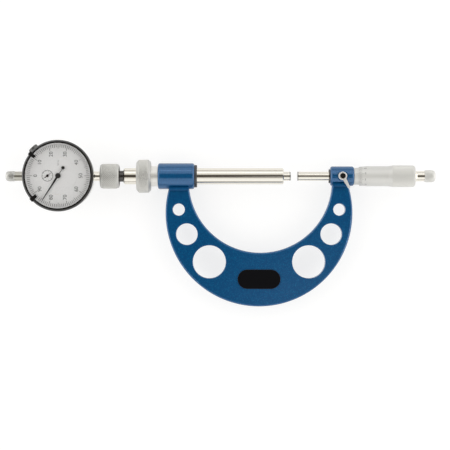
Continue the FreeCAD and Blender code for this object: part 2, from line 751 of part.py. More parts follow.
def build_chuck():
    """The black neck with its slit collet, and the knurled nut that closes it on the indicator's stem."""
    neck_end = "collet_l + collet_taper_l + neck_l"
    made = turned(
        "stem_collet",
        "X",
        [
            ("0", "stem_d / 2 + running"),
            ("0", "collet_d / 2 - collet_chamfer"),
            ("collet_chamfer", "collet_d / 2"),
            ("collet_l", "collet_d / 2"),
            ("collet_l + collet_taper_l", "neck_d / 2"),
            (neck_end, "neck_d / 2"),
            (neck_end, "tube_bore_r"),
            (f"{neck_end} + spigot_l", "tube_bore_r"),
            (f"{neck_end} + spigot_l", "spigot_bore_d / 2"),
            ("stem_in_collet", "spigot_bore_d / 2"),
            ("stem_in_collet", "stem_d / 2 + running"),
        ],
        x="collet_x",
    )
    slots(made, 3, "collet_slot_w", "collet_l - run_out", "collet_d")
    curve = "chuck_nut_round"
    radius = "chuck_nut_d / 2"
    turned(
        "chuck_nut",
        "X",
        [
            ("0", "stem_d / 2 + free_gap"),
            ("0", f"{radius} - {curve}", curve),
            (curve, radius),
            (f"chuck_nut_l - {curve}", radius, curve),
            ("chuck_nut_l", f"{radius} - {curve}"),
            ("chuck_nut_l", "chuck_recess_d / 2"),
            ("chuck_nut_l - chuck_recess_deep", "chuck_recess_d / 2"),
            ("chuck_nut_l - chuck_recess_deep", "collet_d / 2 + running"),
            ("chuck_nut_floor", "collet_d / 2 + running"),
            ("chuck_nut_floor", "stem_d / 2 + free_gap"),
        ],
        x="chuck_nut_x",
    )


def build_head():
    """The micrometer head: barrel, sleeve, adjusting nut, spindle, thimble and ratchet."""
    thread = "barrel_thread_d / 2"
    made = turned(
        "barrel",
        "X",
        [
            ("0", "spindle_r + running"),
            ("0", "barrel_r"),
            ("barrel_l - adjusting_nut_l", "barrel_r"),
            ("barrel_l - adjusting_nut_l", thread),
            ("barrel_l", thread),
            ("barrel_l", "spindle_r + running"),
        ],
        x="barrel_x",
    )
    sketch = sketch_on(made, "XY_Plane", "barrel_lock_bore")
    circle(sketch, "lock_x - barrel_x", "0", "lock_shank_d / 2 + running")
    extrude(made, sketch, "barrel_d", kind="Pocket", reverse=True)
    nut_x = "barrel_x + barrel_l - adjusting_nut_l - sleeve_x"
    turned(
        "sleeve",
        "X",
        [
            ("0", "barrel_r"),
            ("0", "sleeve_d / 2"),
            ("sleeve_l", "sleeve_d / 2"),
            ("sleeve_l", "adjusting_nut_d / 2"),
            (nut_x, "adjusting_nut_d / 2"),
            (nut_x, "barrel_r"),
        ],
        x="sleeve_x",
    )
    ring(
        "adjusting_nut",
        "X",
        thread,
        "adjusting_nut_d / 2",
        "adjusting_nut_l",
        x="barrel_x + barrel_l - adjusting_nut_l",
    )
    web = "thimble_x + thimble_web_x - spindle_x"
    turned(
        "spindle",
        "X",
        [
            ("carbide_l", "0"),
            ("carbide_l", "spindle_r"),
            (web, "spindle_r"),
            (web, "spindle_tail_d / 2"),
            (f"{web} + spindle_tail_l", "spindle_tail_d / 2"),
            (f"{web} + spindle_tail_l", "0"),
        ],
        x="spindle_x",
    )
    turned(
        "spindle_tip",
        "X",
        [
            ("0", "0"),
            ("0", "spindle_r - tip_chamfer"),
            ("tip_chamfer", "spindle_r"),
            ("carbide_l", "spindle_r"),
            ("carbide_l", "0"),
        ],
        x="spindle_x",
    )
    shank = "ratchet_shank_d / 2"
    tail_end = "thimble_web_x + spindle_tail_l + free_gap"
    turned(
        "thimble",
        "X",
        [
            ("0", "thimble_bore_r"),
            ("0", "thimble_edge_d / 2"),
            ("thimble_bevel_l", "thimble_d / 2"),
            ("thimble_front_l", "thimble_d / 2"),
            ("thimble_front_l + thimble_step_l", "thimble_grip_d / 2"),
            ("thimble_l - thimble_chamfer", "thimble_grip_d / 2"),
            ("thimble_l", "thimble_grip_d / 2 - thimble_chamfer"),
            ("thimble_l", shank),
            (tail_end, shank),
            (tail_end, "spindle_tail_d / 2 + running"),
            ("thimble_web_x + seat_gap", "spindle_tail_d / 2 + running"),
            ("thimble_web_x + seat_gap", "thimble_bore_r"),
        ],
        x="thimble_x",
    )
    neck = "ratchet_neck_d / 2"
    turned(
        "ratchet_body",
        "X",
        [
            (f"{tail_end} - thimble_l", "0"),
            (f"{tail_end} - thimble_l", shank),
            ("0", shank),
            ("0", "ratchet_flare_d / 2"),
            ("ratchet_flare_l", neck),
            ("ratchet_neck_l", neck),
            ("ratchet_neck_l", shank),
            ("ratchet_neck_l + ratchet_core_l", shank),
            ("ratchet_neck_l + ratchet_core_l", "0"),
        ],
        x="ratchet_x",
    )
    radius = "ratchet_knob_d / 2"
    curve = "ratchet_round"
    end = "ratchet_knob_l"
    turned(
        "ratchet_knob",
        "X",
        [
            ("0", f"{shank} + running"),
            ("0", f"{radius} - fine_chamfer"),
            ("fine_chamfer", radius),
            (f"{end} - {curve}", radius, curve),
            (end, f"{radius} - {curve}"),
            (end, "0"),
            ("ratchet_core_l + free_gap", "0"),
            ("ratchet_core_l + free_gap", f"{shank} + running"),
        ],
        x="ratchet_x + ratchet_neck_l + seat_gap",
    )


def build_lock():
    """The lever on the right boss and the slotted screw that it turns against the spindle."""
    made = body("lock_lever", x="lock_x", z="spot_face_z + seat_gap", turn="lever_turn")
    shank = "lock_shank_d / 2"
    turn(
        made,
        "Z",
        [
            ("0", shank),
            ("0", "lever_hub_d / 2"),
            ("lever_hub_t - fine_chamfer", "lever_hub_d / 2"),
            ("lever_hub_t", "lever_hub_d / 2 - fine_chamfer"),
            ("lever_hub_t", shank),
        ],
    )
    sketch = sketch_on(made, "XY_Plane", "lock_lever_arm")
    tip = "lever_tip_w / 2"
    draw(
        sketch,
        [
            ("lever_hub_d / 2 - lever_sunk", "-lever_root_w / 2"),
            ("lever_hub_d / 2 - lever_sunk", "lever_root_w / 2"),
            (f"lever_reach - {tip}", tip, tip),
            ("lever_reach", "0", tip),
            (f"lever_reach - {tip}", "-lever_tip_w / 2"),
        ],
    )
    extrude(made, sketch, "lever_t", start="lever_hub_t - lever_t - seat_gap")
    made = turned(
        "lock_screw",
        "Z",
        [
            ("spindle_r + seat_gap", "0"),
            ("spindle_r + seat_gap", shank),
            ("spot_face_z + seat_gap + lever_hub_t", shank),
            ("spot_face_z + seat_gap + lever_hub_t", "lock_head_d / 2"),
            ("spot_face_z + seat_gap + lever_hub_t + lock_head_t", "lock_head_d / 2"),
            ("spot_face_z + seat_gap + lever_hub_t + lock_head_t", "0"),
        ],
        x="lock_x",
        turn="lever_turn",
    )
    sketch = sketch_on(made, "XY_Plane", "lock_screw_slot")
    half = "lock_slot_w / 2"
    draw(
        sketch,
        [
            ("-lock_head_d", "0 - " + half),
            ("-lock_head_d", half),
            ("lock_head_d", half),
            ("lock_head_d", "0 - " + half),
        ],
    )
    top = "spot_face_z + seat_gap + lever_hub_t + lock_head_t"
    extrude(made, sketch, "lock_slot_deep", kind="Pocket", start=top)


def build_indicator_case():
    """The case, its back with four screws, the stem, the upper bush and the dust cap."""
    made = body("indicator_case", x="dial_x")
    bezel_fit = "bezel_bore_r - running"
    turn(
        made,
        "Z",
        [
            ("case_floor_z", "case_bore_r"),
            ("case_floor_z", "case_r"),
            ("case_shoulder_z", "case_r"),
            ("case_shoulder_z", bezel_fit),
            ("spigot_z", bezel_fit),
            ("spigot_z", "case_bore_r"),
        ],
    )
    inside = "case_bore_r - case_wall"
    for start, end, radius in (
        (inside, "case_r", "stem_d / 2"),
        ("-case_r", f"0 - ({inside})", "cap_bush_d / 2"),
    ):
        turn(made, "X", [(start, "0"), (start, radius), (end, radius), (end, "0")], kind="Groove")
    drill_screws(made, "case_floor_z", "back_screw_l", reverse=True)
    shank = doc.addObject("Part::Cylinder", "clamp_screw_bore")
    bind(shank, "Radius", "clamp_shank_d / 2 + running")
    bind(shank, "Height", "bezel_d")
    middle = FreeCAD.Vector(number("dial_x"), 0, number("clamp_screw_z"))
    upright = FreeCAD.Rotation(FreeCAD.Vector(0, 1, 0), 90)
    around = FreeCAD.Rotation(FreeCAD.Vector(0, 0, 1), number("clamp_screw_turn"))
    shank.Placement = FreeCAD.Placement(middle, around.multiply(upright))
    cut = doc.addObject("Part::Cut", "indicator_case_drilled")
    cut.Base = made
    cut.Tool = shank
    made.Label = "indicator_case_casting"
    cut.Label = "indicator_case"
    nodes["indicator_case"] = cut
    cover = body("back_cover", x="dial_x")
    turn(
        cover,
        "Z",
        [
            ("back_cover_z", "0"),
            ("back_cover_z", "case_r - edge_chamfer"),
            ("back_cover_z + edge_chamfer", "case_r"),
            ("case_floor_z", "case_r"),
            ("case_floor_z", "0"),
        ],
    )
    drill_screws(cover, "case_floor_z", "back_t * 2")
    screws = body("back_screws", x="dial_x")
    screws.AllowCompound = True
    sketch = sketch_on(screws, "XY_Plane", "back_screws_heads")
    circle(sketch, *screw_place, "back_screw_d / 2")
    shanks = extrude(screws, sketch, "back_t + back_screw_l", start="back_cover_z")
    sketch = sketch_on(screws, "XY_Plane", "back_screws_shanks")
    circle(sketch, *screw_place, "back_screw_head_d / 2")
    heads = extrude(screws, sketch, "back_screw_head_t", start="back_cover_z", reverse=True)
    repeat_round(screws, [shanks, heads], sketch)
    ring(
        "indicator_stem",
        "X",
        "plunger_bore_r",
        "stem_d / 2",
        "stem_end_x - dial_x - case_bore_r",
        x="dial_x + case_bore_r",
    )
    made = turned(
        "cap_bush",
        "X",
        [
            ("-cap_grip", "plunger_bore_r"),
            ("-cap_grip", "cap_d / 2 - cap_wall"),
            ("0", "cap_d / 2 - cap_wall"),
            ("0", "cap_bush_d / 2"),
            ("cap_bush_l + case_r - case_bore_r", "cap_bush_d / 2"),
            ("cap_bush_l + case_r - case_bore_r", "plunger_bore_r"),
        ],
        x="cap_bush_x",
    )
    turned(
        "dust_cap",
        "X",
        [
            ("0", "0"),
            ("0", "cap_d / 2 - cap_round", "cap_round"),
            ("cap_round", "cap_d / 2"),
            ("cap_l", "cap_d / 2"),
            ("cap_l", "cap_d / 2 - cap_wall"),
            ("cap_wall", "cap_d / 2 - cap_wall"),
            ("cap_wall", "0"),
        ],
        x="cap_x",
    )


def drill_screws(owner, level, depth, reverse=False):
    """Holes for the back screws, patterned about Z."""
    sketch = sketch_on(owner, "XY_Plane", owner.Label + "_screw_hole")
    circle(sketch, *screw_place, "back_screw_d / 2")
    hole = extrude(owner, sketch, depth, kind="Pocket", start=level, reverse=reverse)
    repeat_round(owner, [hole], sketch)


def repeat_round(owner, features, sketch):
    """Repeats features about the body's own Z axis, once per back screw."""
    doc.recompute()
    pattern = owner.newObject("PartDesign::PolarPattern", owner.Label + "_round")
    pattern.Originals = features
    pattern.Axis = (sketch, ["N_Axis"])
    pattern.Angle = 360
    bind(pattern, "Occurrences", "back_screw_count")
    owner.Tip = pattern


def build_indicator_front():
    """The turning bezel with its crystal, white rim and scale ring, and the fixed middle of the dial."""
    bore = "bezel_bore_r"
    radius = "bezel_d / 2"
    turned(
        "bezel",
        "Z",
        [
            ("bezel_z", bore),
            ("bezel_z", f"{radius} - bezel_chamfer"),
            ("bezel_z + bezel_chamfer", radius),
            ("front_z - bezel_crown_t", radius, "bezel_t"),
            ("front_z", f"{radius} - bezel_crown_w"),
            ("front_z", "window_r"),
            ("front_z - lip_t", "window_r"),
            ("front_z - lip_t", bore),
        ],
        x="dial_x",
    )
    turned(
        "crystal",
        "Z",
        [("0", "0"), ("0", bore), ("crystal_t", bore), ("crystal_t", "0")],
        x="dial_x",
        z="crystal_z",
    )
    ring("white_rim", "Z", "window_r", bore, "rim_l", x="dial_x", z="rim_z")
    ring("scale_ring", "Z", "dial_centre_d / 2 + running", bore, "dial_t", x="dial_x", z="dial_z")
    made = body("dial_middle", x="dial_x", z="dial_z")
    sketch = sketch_on(made, "XY_Plane", "dial_middle_disc")
    circle(sketch, "0", "0", "dial_centre_d / 2")
    circle(sketch, "0", "0", "dial_hole_r")
    circle(sketch, "-counter_out", "0", "dial_hole_r")
    extrude(made, sketch, "dial_t")
    sketch = sketch_on(made, "XY_Plane", "dial_middle_feet")
    for side in ("-", ""):
        circle(sketch, "0", f"{side}dial_foot_out", "dial_hole_r")
    extrude(made, sketch, "dial_z - plate_gap_z - movement_t", reverse=True)


def build_markers():
    """Two sheet clips on the bezel that mark the limits."""
    radius = "bezel_d / 2 + running"
    wall = "marker_wall"
    for label, place in (("upper_marker", "upper_marker_turn"), ("lower_marker", "lower_marker_turn")):
        made = body(label, x="dial_x", z="front_z + running", turn=place)
        turn(
            made,
            "Z",
            [
                ("-marker_deep", radius),
                ("-marker_deep", f"{radius} + {wall}"),
                ("0", f"{radius} + {wall}", wall),
                (wall, radius),
                (wall, "marker_inner_r"),
                ("0", "marker_inner_r"),
                ("0", radius),
            ],
            angle="marker_angle",
        )


def build_movement():
    """The indicator's works: two plates, the plunger with its spring and the two arbors with the pointers."""
    for label, level in (("front_plate", "plate_gap_z"), ("rear_plate", "-rear_plate_z")):
        made = body(label, x="dial_x", z=level)
        sketch = sketch_on(made, "XY_Plane", label + "_disc")
        circle(sketch, "0", "0", "case_bore_r")
        circle(sketch, "-counter_out", "0", "arbor_d / 2 + running")
        if label == "front_plate":
            circle(sketch, "0", "0", "arbor_d / 2 + running")
        extrude(made, sketch, "movement_t")
    collar = "dial_x - plunger_collar_out - plunger_x"
    made = turned(
        "plunger",
        "X",
        [
            ("0", "0"),
            ("0", "plunger_r"),
            (f"{collar} - plunger_collar_l", "plunger_r"),
            (f"{collar} - plunger_collar_l", "plunger_collar_d / 2"),
            (collar, "plunger_collar_d / 2"),
            (collar, "plunger_r"),
            ("plunger_end_x - plunger_x", "plunger_r"),
            ("plunger_end_x - plunger_x", "0"),
        ],
        x="plunger_x",
    )
    sketch = sketch_on(made, "XY_Plane", "plunger_rack_slot")
    arbor = "dial_x - counter_out - plunger_x"
    reach = "(rack_pinion_d / 2 + free_gap)"
    half = "plunger_slot_w / 2"
    draw(
        sketch,
        [
            (f"{arbor} - {reach}", "0 - " + half),
            (f"{arbor} - {reach}", half),
            (f"{arbor} + {reach} + anvil_stroke", half),
            (f"{arbor} + {reach} + anvil_stroke", "0 - " + half),
        ],
    )
    extrude(made, sketch, "plunger_d * 2", kind="Pocket", symmetric=True)
    turned(
        "contact_point",
        "X",
        [
            ("0", "0"),
            ("0", "contact_d / 2"),
            ("contact_end_x - plunger_end_x - contact_round", "contact_d / 2", "contact_round"),
            ("contact_end_x - plunger_end_x", "contact_d / 2 - contact_round"),
            ("contact_end_x - plunger_end_x", "0"),
        ],
        x="plunger_end_x",
    )
    coil(
        "plunger_spring",
        "(plunger_d + plunger_collar_d) / 4",
        "plunger_wire_d",
        "case_bore_r - plunger_collar_out - plunger_collar_l - seat_gap * 2",
        "plunger_spring_turns",
        x="dial_x - case_bore_r + seat_gap",
    )
    wheel_z = "gear_z + gear_t"
    turned(
        "gear_arbor",
        "Z",
        [
            ("-rear_plate_z", "0"),
            ("-rear_plate_z", "arbor_d / 2"),
            ("-plunger_r", "arbor_d / 2"),
            ("-plunger_r", "rack_pinion_d / 2"),
            ("gear_z", "rack_pinion_d / 2"),
            ("gear_z", "gear_wheel_d / 2"),
            (wheel_z, "gear_wheel_d / 2"),
            (wheel_z, "arbor_d / 2"),
            ("counter_z", "arbor_d / 2"),
            ("counter_z", "0"),
        ],
        x="dial_x - counter_out",
    )
    turned(
        "centre_arbor",
        "Z",
        [
            ("gear_z", "0"),
            ("gear_z", "centre_pinion_d / 2"),
            (f"{wheel_z} + seat_gap", "centre_pinion_d / 2"),
            (f"{wheel_z} + seat_gap", "arbor_d / 2"),
            ("pointer_z", "arbor_d / 2"),
            ("pointer_z", "0"),
        ],
        x="dial_x",
    )
    needle(
        "pointer",
        "pointer",
        [
            ("pointer_root_w", "pointer_tip_w", "pointer_l"),
            ("pointer_tip_w", "pointer_tip_w", "-pointer_tail_l"),
        ],
        x="dial_x",
        z="pointer_z",
        turn="pointer_turn",
    )
    needle(
        "counter_pointer",
        "counter",
        [("counter_w", "counter_w / 3", "counter_l"), ("counter_w", "counter_w", "-counter_tail_l")],
        x="dial_x - counter_out",
        z="counter_z",
        turn="counter_turn",
    )


def needle(label, size, blades, **place):
    """A pointer: a domed hub with one blade forward and one back."""
    made = body(label, **place)
    hub = f"{size}_hub_d / 2"
    turn(
        made,
        "Z",
        [
            ("0", "0"),
            ("0", hub),
            ("pointer_t", hub),
            ("hub_rise", f"{hub} - hub_dome"),
            ("hub_rise", "0"),
        ],
    )
    for root, tip, reach in blades:
        sketch = sketch_on(made, "XY_Plane", label + "_blade")
        corners = [("0", f"-{root} / 2"), ("0", f"{root} / 2"), (reach, f"{tip} / 2"), (reach, f"-{tip} / 2")]
        draw(sketch, corners)
        extrude(made, sketch, "pointer_t")
    if label == "pointer":
        sketch = sketch_on(made, "XY_Plane", label + "_disc")
        circle(sketch, "-pointer_tail_l", "0", "pointer_tail_d / 2")
        extrude(made, sketch, "pointer_t")


def build_clamp_screw():
    """The knurled screw that clamps the bezel, on the case's side."""
    start = "bezel_d / 2 - clamp_screw_sunk"
    shank = "case_r - clamp_shank_l"
    radius = "clamp_screw_d / 2"
    turned(
        "bezel_clamp_screw",
        "X",
        [
            (shank, "0"),
            (shank, "clamp_shank_d / 2"),
            (start, "clamp_shank_d / 2"),
            (start, f"{radius} - fine_chamfer"),
            (f"{start} + fine_chamfer", radius),
            (f"{start} + clamp_screw_l - edge_chamfer", radius),
            (f"{start} + clamp_screw_l", f"{radius} - edge_chamfer"),
            (f"{start} + clamp_screw_l", "0"),
        ],
        x="dial_x",
        z="clamp_screw_z",
        turn="clamp_screw_turn",
    )


def export():
    """Checks every object and writes each node to its own file."""
    doc.recompute()
    bad = [o.Label for o in doc.Objects if "Invalid" in o.State or "Error" in o.State]
    for label, made in nodes.items():
        if made.Shape.isNull() or not made.Shape.isValid() or not made.Shape.Solids:
            bad.append(label)
    if bad:
        raise RuntimeError("failed: " + ", ".join(bad))
    os.makedirs("parts", exist_ok=True)
    for label, made in nodes.items():
        made.Shape.exportStep(f"parts/{label}.step")
        box = made.Shape.optimalBoundingBox(False, False)
        print(
            f"{label}: {len(made.Shape.Solids)} solid, {made.Shape.Volume:.1f} mm3, "
            f"x {box.XMin:.2f} to {box.XMax:.2f}, y {box.YMin:.2f} to {box.YMax:.2f}, "
            f"z {box.ZMin:.2f} to {box.ZMax:.2f}"
        )


build_frame()
build_name_plate()
build_guide_bush()
build_anvil()
build_chuck()
build_head()
build_lock()
build_indicator_case()
build_indicator_front()
build_markers()
build_movement()
build_clamp_screw()
export()
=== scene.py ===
"""Finishes an indicating micrometer: hammered enamel on the bow, ground and knurled steel, satin chrome,
glass, and the scales, numbers and knurls that its solids leave plain. All lengths are metres, in the frame's
own axes: X along the measuring line, Y away from the bow, Z towards the dial's reader."""

import json
import math

import bmesh
import bpy
from mathutils import Euler, Matrix, Vector
from mathutils.bvhtree import BVHTree

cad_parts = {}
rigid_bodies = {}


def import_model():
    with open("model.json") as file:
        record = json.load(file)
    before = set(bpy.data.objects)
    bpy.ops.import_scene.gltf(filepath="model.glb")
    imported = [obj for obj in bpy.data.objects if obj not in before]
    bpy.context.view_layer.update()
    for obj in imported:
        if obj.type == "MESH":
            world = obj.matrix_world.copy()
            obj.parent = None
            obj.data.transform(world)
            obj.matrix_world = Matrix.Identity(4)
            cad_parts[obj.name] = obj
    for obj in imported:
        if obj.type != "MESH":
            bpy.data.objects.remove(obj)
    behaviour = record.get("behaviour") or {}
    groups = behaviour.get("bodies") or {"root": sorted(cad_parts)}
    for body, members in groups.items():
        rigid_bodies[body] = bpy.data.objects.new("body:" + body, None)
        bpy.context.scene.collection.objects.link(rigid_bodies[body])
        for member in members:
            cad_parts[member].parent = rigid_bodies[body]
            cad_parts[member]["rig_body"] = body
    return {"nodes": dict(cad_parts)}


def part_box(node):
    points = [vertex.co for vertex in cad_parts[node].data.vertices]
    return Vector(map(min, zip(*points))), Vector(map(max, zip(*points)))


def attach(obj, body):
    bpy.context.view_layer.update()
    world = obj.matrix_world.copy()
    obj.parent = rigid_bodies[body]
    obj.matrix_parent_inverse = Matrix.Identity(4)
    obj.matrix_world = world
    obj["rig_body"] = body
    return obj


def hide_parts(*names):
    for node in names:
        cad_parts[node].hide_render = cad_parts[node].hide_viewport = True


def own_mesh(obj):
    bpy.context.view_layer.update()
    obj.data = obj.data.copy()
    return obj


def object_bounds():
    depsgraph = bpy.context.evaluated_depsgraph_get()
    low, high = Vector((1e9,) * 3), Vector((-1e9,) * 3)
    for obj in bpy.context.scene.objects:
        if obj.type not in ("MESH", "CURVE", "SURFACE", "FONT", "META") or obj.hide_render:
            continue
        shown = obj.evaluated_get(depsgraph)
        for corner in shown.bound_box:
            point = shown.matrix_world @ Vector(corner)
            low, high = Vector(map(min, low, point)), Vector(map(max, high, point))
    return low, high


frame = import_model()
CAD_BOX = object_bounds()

bl_info = {
    "name": "Indicating Micrometer",
    "version": (1, 0, 0),
    "blender": (4, 5, 0),
    "location": "View3D > Sidebar > Micrometer",
    "description": "Finishes, knurls and scales of an indicating micrometer",
    "category": "Object",
}

MM = 0.001


def span(node, axis):
    """Lowest and highest place of a solid along an axis, 0 to 2."""
    low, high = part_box(node)
    return low[axis], high[axis]


def middle(node):
    """Centre of a solid's box."""
    low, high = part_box(node)
    return (low + high) / 2


DIAL = middle("dial_middle")
DIAL_FACE = span("dial_middle", 2)[1]
COUNTER = middle("gear_arbor")
SLEEVE_R = span("sleeve", 1)[1]
ZERO_LINE = span("thimble", 0)[0]
BOSS_LENGTH = 30 * MM
BOSS_START = span("frame", 0)[0]
BOSS_END = BOSS_START + BOSS_LENGTH
RIGHT_BOSS_R = 8.1 * MM


class Sizes(bpy.types.PropertyGroup):
    """Sizes of the knurls, scales and numbers."""

    casting_fillet: bpy.props.FloatProperty(
        name="Casting fillet", description="Fillet between the bosses and the bow", default=1.4 * MM,
        unit="LENGTH",
    )
    knurl_pitch: bpy.props.FloatProperty(
        name="Knurl pitch", description="Distance between diamonds of the coarse knurls", default=1.6 * MM,
        unit="LENGTH",
    )
    fine_pitch: bpy.props.FloatProperty(
        name="Fine knurl pitch", description="Distance between diamonds of the fine knurls",
        default=0.62 * MM, unit="LENGTH",
    )
    knurl_rise: bpy.props.FloatProperty(
        name="Knurl height", description="How far a diamond stands out, as a share of its pitch",
        default=0.3, subtype="FACTOR",
    )
    print_rise: bpy.props.FloatProperty(
        name="Ink", description="How far printed and filled marks stand out", default=0.02 * MM,
        unit="LENGTH",
    )
    dial_ticks: bpy.props.IntProperty(
        name="Dial divisions", description="Divisions round the dial", default=100
    )
    tick_outer: bpy.props.FloatProperty(
        name="Scale radius", description="Outer ends of the dial's divisions", default=25.6 * MM,
        unit="LENGTH",
    )
    tick_short: bpy.props.FloatProperty(
        name="Division", description="Length of a plain division", default=2.6 * MM, unit="LENGTH"
    )
    tick_long: bpy.props.FloatProperty(
        name="Tenth division", description="Length of every tenth division", default=4.4 * MM,
        unit="LENGTH",
    )
    tick_width: bpy.props.FloatProperty(
        name="Division width", description="Width of a dial division", default=0.34 * MM, unit="LENGTH"
    )
    number_radius: bpy.props.FloatProperty(
        name="Number circle", description="Circle on which the dial's numbers stand", default=18.4 * MM,
        unit="LENGTH",
    )
    number_tall: bpy.props.FloatProperty(
        name="Number height", description="Height of the dial's numbers", default=3.0 * MM, unit="LENGTH"
    )
    counter_radius: bpy.props.FloatProperty(
        name="Counter circle", description="Circle of the turn counter", default=4.3 * MM, unit="LENGTH",
    )
    line_width: bpy.props.FloatProperty(
        name="Line width", description="Lines on the sleeve and the thimble", default=0.13 * MM,
        unit="LENGTH",
    )
    travel: bpy.props.IntProperty(
        name="Travel", description="Millimetres on the sleeve's scale", default=25
    )
    drum_ticks: bpy.props.IntProperty(
        name="Thimble divisions", description="Divisions round the thimble", default=50
    )


class Finish(bpy.types.PropertyGroup):
    """Colours of the finishes."""

    enamel: bpy.props.FloatVectorProperty(
        name="Enamel", description="Hammered enamel of the bow", default=(0.0004, 0.079, 0.228),
        subtype="COLOR", size=3,
    )
    # Painted glints: a lighter blue that the enamel's fleck mask mixes in as bright flecks.
    enamel_light: bpy.props.FloatVectorProperty(
        name="Enamel painted glints", description="Painted glints on the hammered enamel",
        default=(0.002, 0.135, 0.325), subtype="COLOR", size=3,
    )
    steel: bpy.props.FloatVectorProperty(
        name="Steel", description="Ground steel", default=(0.82, 0.79, 0.715), subtype="COLOR", size=3
    )
    chrome: bpy.props.FloatVectorProperty(
        name="Satin chrome", description="Sleeve, thimble and ratchet knob", default=(0.74, 0.74, 0.72),
        subtype="COLOR", size=3,
    )
    knurled: bpy.props.FloatVectorProperty(
        name="Knurled steel", description="Knurls of the nuts, adjusting nut and dust cap",
        default=(0.88, 0.88, 0.85), subtype="COLOR", size=3,
    )
    dial: bpy.props.FloatVectorProperty(
        name="Dial", description="Dial paint", default=(0.90, 0.90, 0.905), subtype="COLOR", size=3
    )
    ink: bpy.props.FloatVectorProperty(
        name="Ink", description="Numbers and divisions", default=(0.03, 0.03, 0.03), subtype="COLOR", size=3
    )


class Studio(bpy.types.PropertyGroup):
    """The floor, the lamps and the camera."""

    view_width: bpy.props.FloatProperty(
        name="View width", description="Width of the view at the measuring line", default=369 * MM,
        unit="LENGTH",
    )
    view_x: bpy.props.FloatProperty(
        name="View middle X", description="Place under the camera", default=-53.8 * MM, unit="LENGTH"
    )
    view_y: bpy.props.FloatProperty(
        name="View middle Y", description="Place under the camera", default=-40.0 * MM, unit="LENGTH"
    )
    distance: bpy.props.FloatProperty(
        name="Camera distance", description="Camera above the measuring line", default=1.2, unit="LENGTH",
    )
    room_light: bpy.props.FloatProperty(
        name="Room light", description="Brightness of the studio's walls", default=1.0
    )
    end_walls: bpy.props.FloatProperty(
        name="End walls",
        description="Brightness of the walls beyond the ends of the measuring line, against the others",
        default=2.2,
    )
    broad_light: bpy.props.FloatProperty(
        name="Broad lamp", description="Power of the broad lamp", default=0.75, unit="POWER"
    )
    strip_light: bpy.props.FloatProperty(
        name="Strip lamp", description="Power of the strip lamp", default=0.8, unit="POWER"
    )
    glint_light: bpy.props.FloatProperty(
        name="Glint lamp", description="Power of the small lamp that the bow's flecks mirror",
        default=0.05, unit="POWER",
    )
    floor_lift: bpy.props.FloatProperty(
        name="Floor glow", description="What the floor adds towards white where it is seen", default=0.75,
    )


def fill(tree, made, inputs):
    """Gives each named input of a node its value, or links it to another node's socket."""
    for name, value in inputs.items():
        if isinstance(value, bpy.types.NodeSocket):
            tree.links.new(value, made.inputs[name])
        else:
            made.inputs[name].default_value = value


def node(tree, kind, inputs=None, **settings):
    """Adds a node with its inputs filled. A setting is one of its properties."""
    made = tree.nodes.new(kind)
    for name, value in settings.items():
        setattr(made, name, value)
    fill(tree, made, inputs or {})
    return made


def maths(tree, operation, first, second=0.0, third=0.0):
    """The output of one Math node."""
    kind = "ShaderNodeMath"
    return node(tree, kind, {0: first, 1: second, 2: third}, operation=operation).outputs[0]


def plus(tree, first, second):
    return maths(tree, "ADD", first, second)


def times(tree, first, second):
    return maths(tree, "MULTIPLY", first, second)


def ramp(tree, value, stops):
    """A colour ramp through (place, colour) stops."""
    made = node(tree, "ShaderNodeValToRGB", {"Fac": value})
    points = made.color_ramp.elements
    while len(points) < len(stops):
        points.new(stops[len(points)][0])
    for (place, colour), point in zip(stops, points):
        point.position = place
        point.color = (*colour, 1)
    return made.outputs["Color"]


def effect(name, inputs, outputs):
    """An empty shader group with named sockets, given as {name: default} and {name: kind}."""
    tree = bpy.data.node_groups.new(name, "ShaderNodeTree")
    for label, default in inputs.items():
        socket = tree.interface.new_socket(label, in_out="INPUT", socket_type="NodeSocketFloat")
        socket.default_value = default
    for label, kind in outputs.items():
        tree.interface.new_socket(label, in_out="OUTPUT", socket_type=kind)
    return tree, tree.nodes.new("NodeGroupInput"), tree.nodes.new("NodeGroupOutput")


def hammered_skin():
    """Dimples and ridges of hammered enamel: a height, and a mask of bright flecks that are painted glints.
    """
    tree, source, result = effect(
        "Hammered skin",
        {"Scale": 900.0},
        {"Height": "NodeSocketFloat", "Painted glint": "NodeSocketFloat"},
    )
    place = node(tree, "ShaderNodeTexCoord").outputs["Object"]
    scale = source.outputs["Scale"]
    cells = node(
        tree,
        "ShaderNodeTexVoronoi",
        {"Vector": place, "Scale": scale, "Smoothness": 0.6},
        feature="SMOOTH_F1",
    )
    waves = node(tree, "ShaderNodeTexNoise", {"Vector": place, "Scale": scale, "Detail": 2.0})
    height = plus(tree, cells.outputs["Distance"], waves.outputs["Fac"])
    grain = node(
        tree,
        "ShaderNodeTexNoise",
        {"Vector": place, "Scale": times(tree, scale, 1.7), "Detail": 3.0},
    )
    # The fleck mask marks where painted glints go.
    painted_glint = node(
        tree,
        "ShaderNodeMapRange",
        {"Value": grain.outputs["Fac"], "From Min": 0.46, "From Max": 0.72},
        interpolation_type="SMOOTHSTEP",
    )
    fill(tree, result, {"Height": height, "Painted glint": painted_glint.outputs[0]})
    return tree


def tool_marks():
    """Fine rings that a lathe or a grinder leaves: a height and a shade that change with one distance."""
    tree, source, result = effect(
        "Tool marks",
        {"Distance": 0.0, "Per metre": 9000.0},
        {"Height": "NodeSocketFloat", "Shade": "NodeSocketFloat"},
    )
    along = times(tree, source.outputs["Distance"], source.outputs["Per metre"])
    rings = node(tree, "ShaderNodeTexNoise", {"W": along, "Scale": 1.0, "Detail": 3.0}, noise_dimensions="1D")
    shade = node(
        tree,
        "ShaderNodeMapRange",
        {"Value": rings.outputs["Fac"], "From Min": 0.2, "From Max": 0.8, "To Min": 0.93, "To Max": 1.0},
    )
    fill(tree, result, {"Height": rings.outputs["Fac"], "Shade": shade.outputs[0]})
    return tree


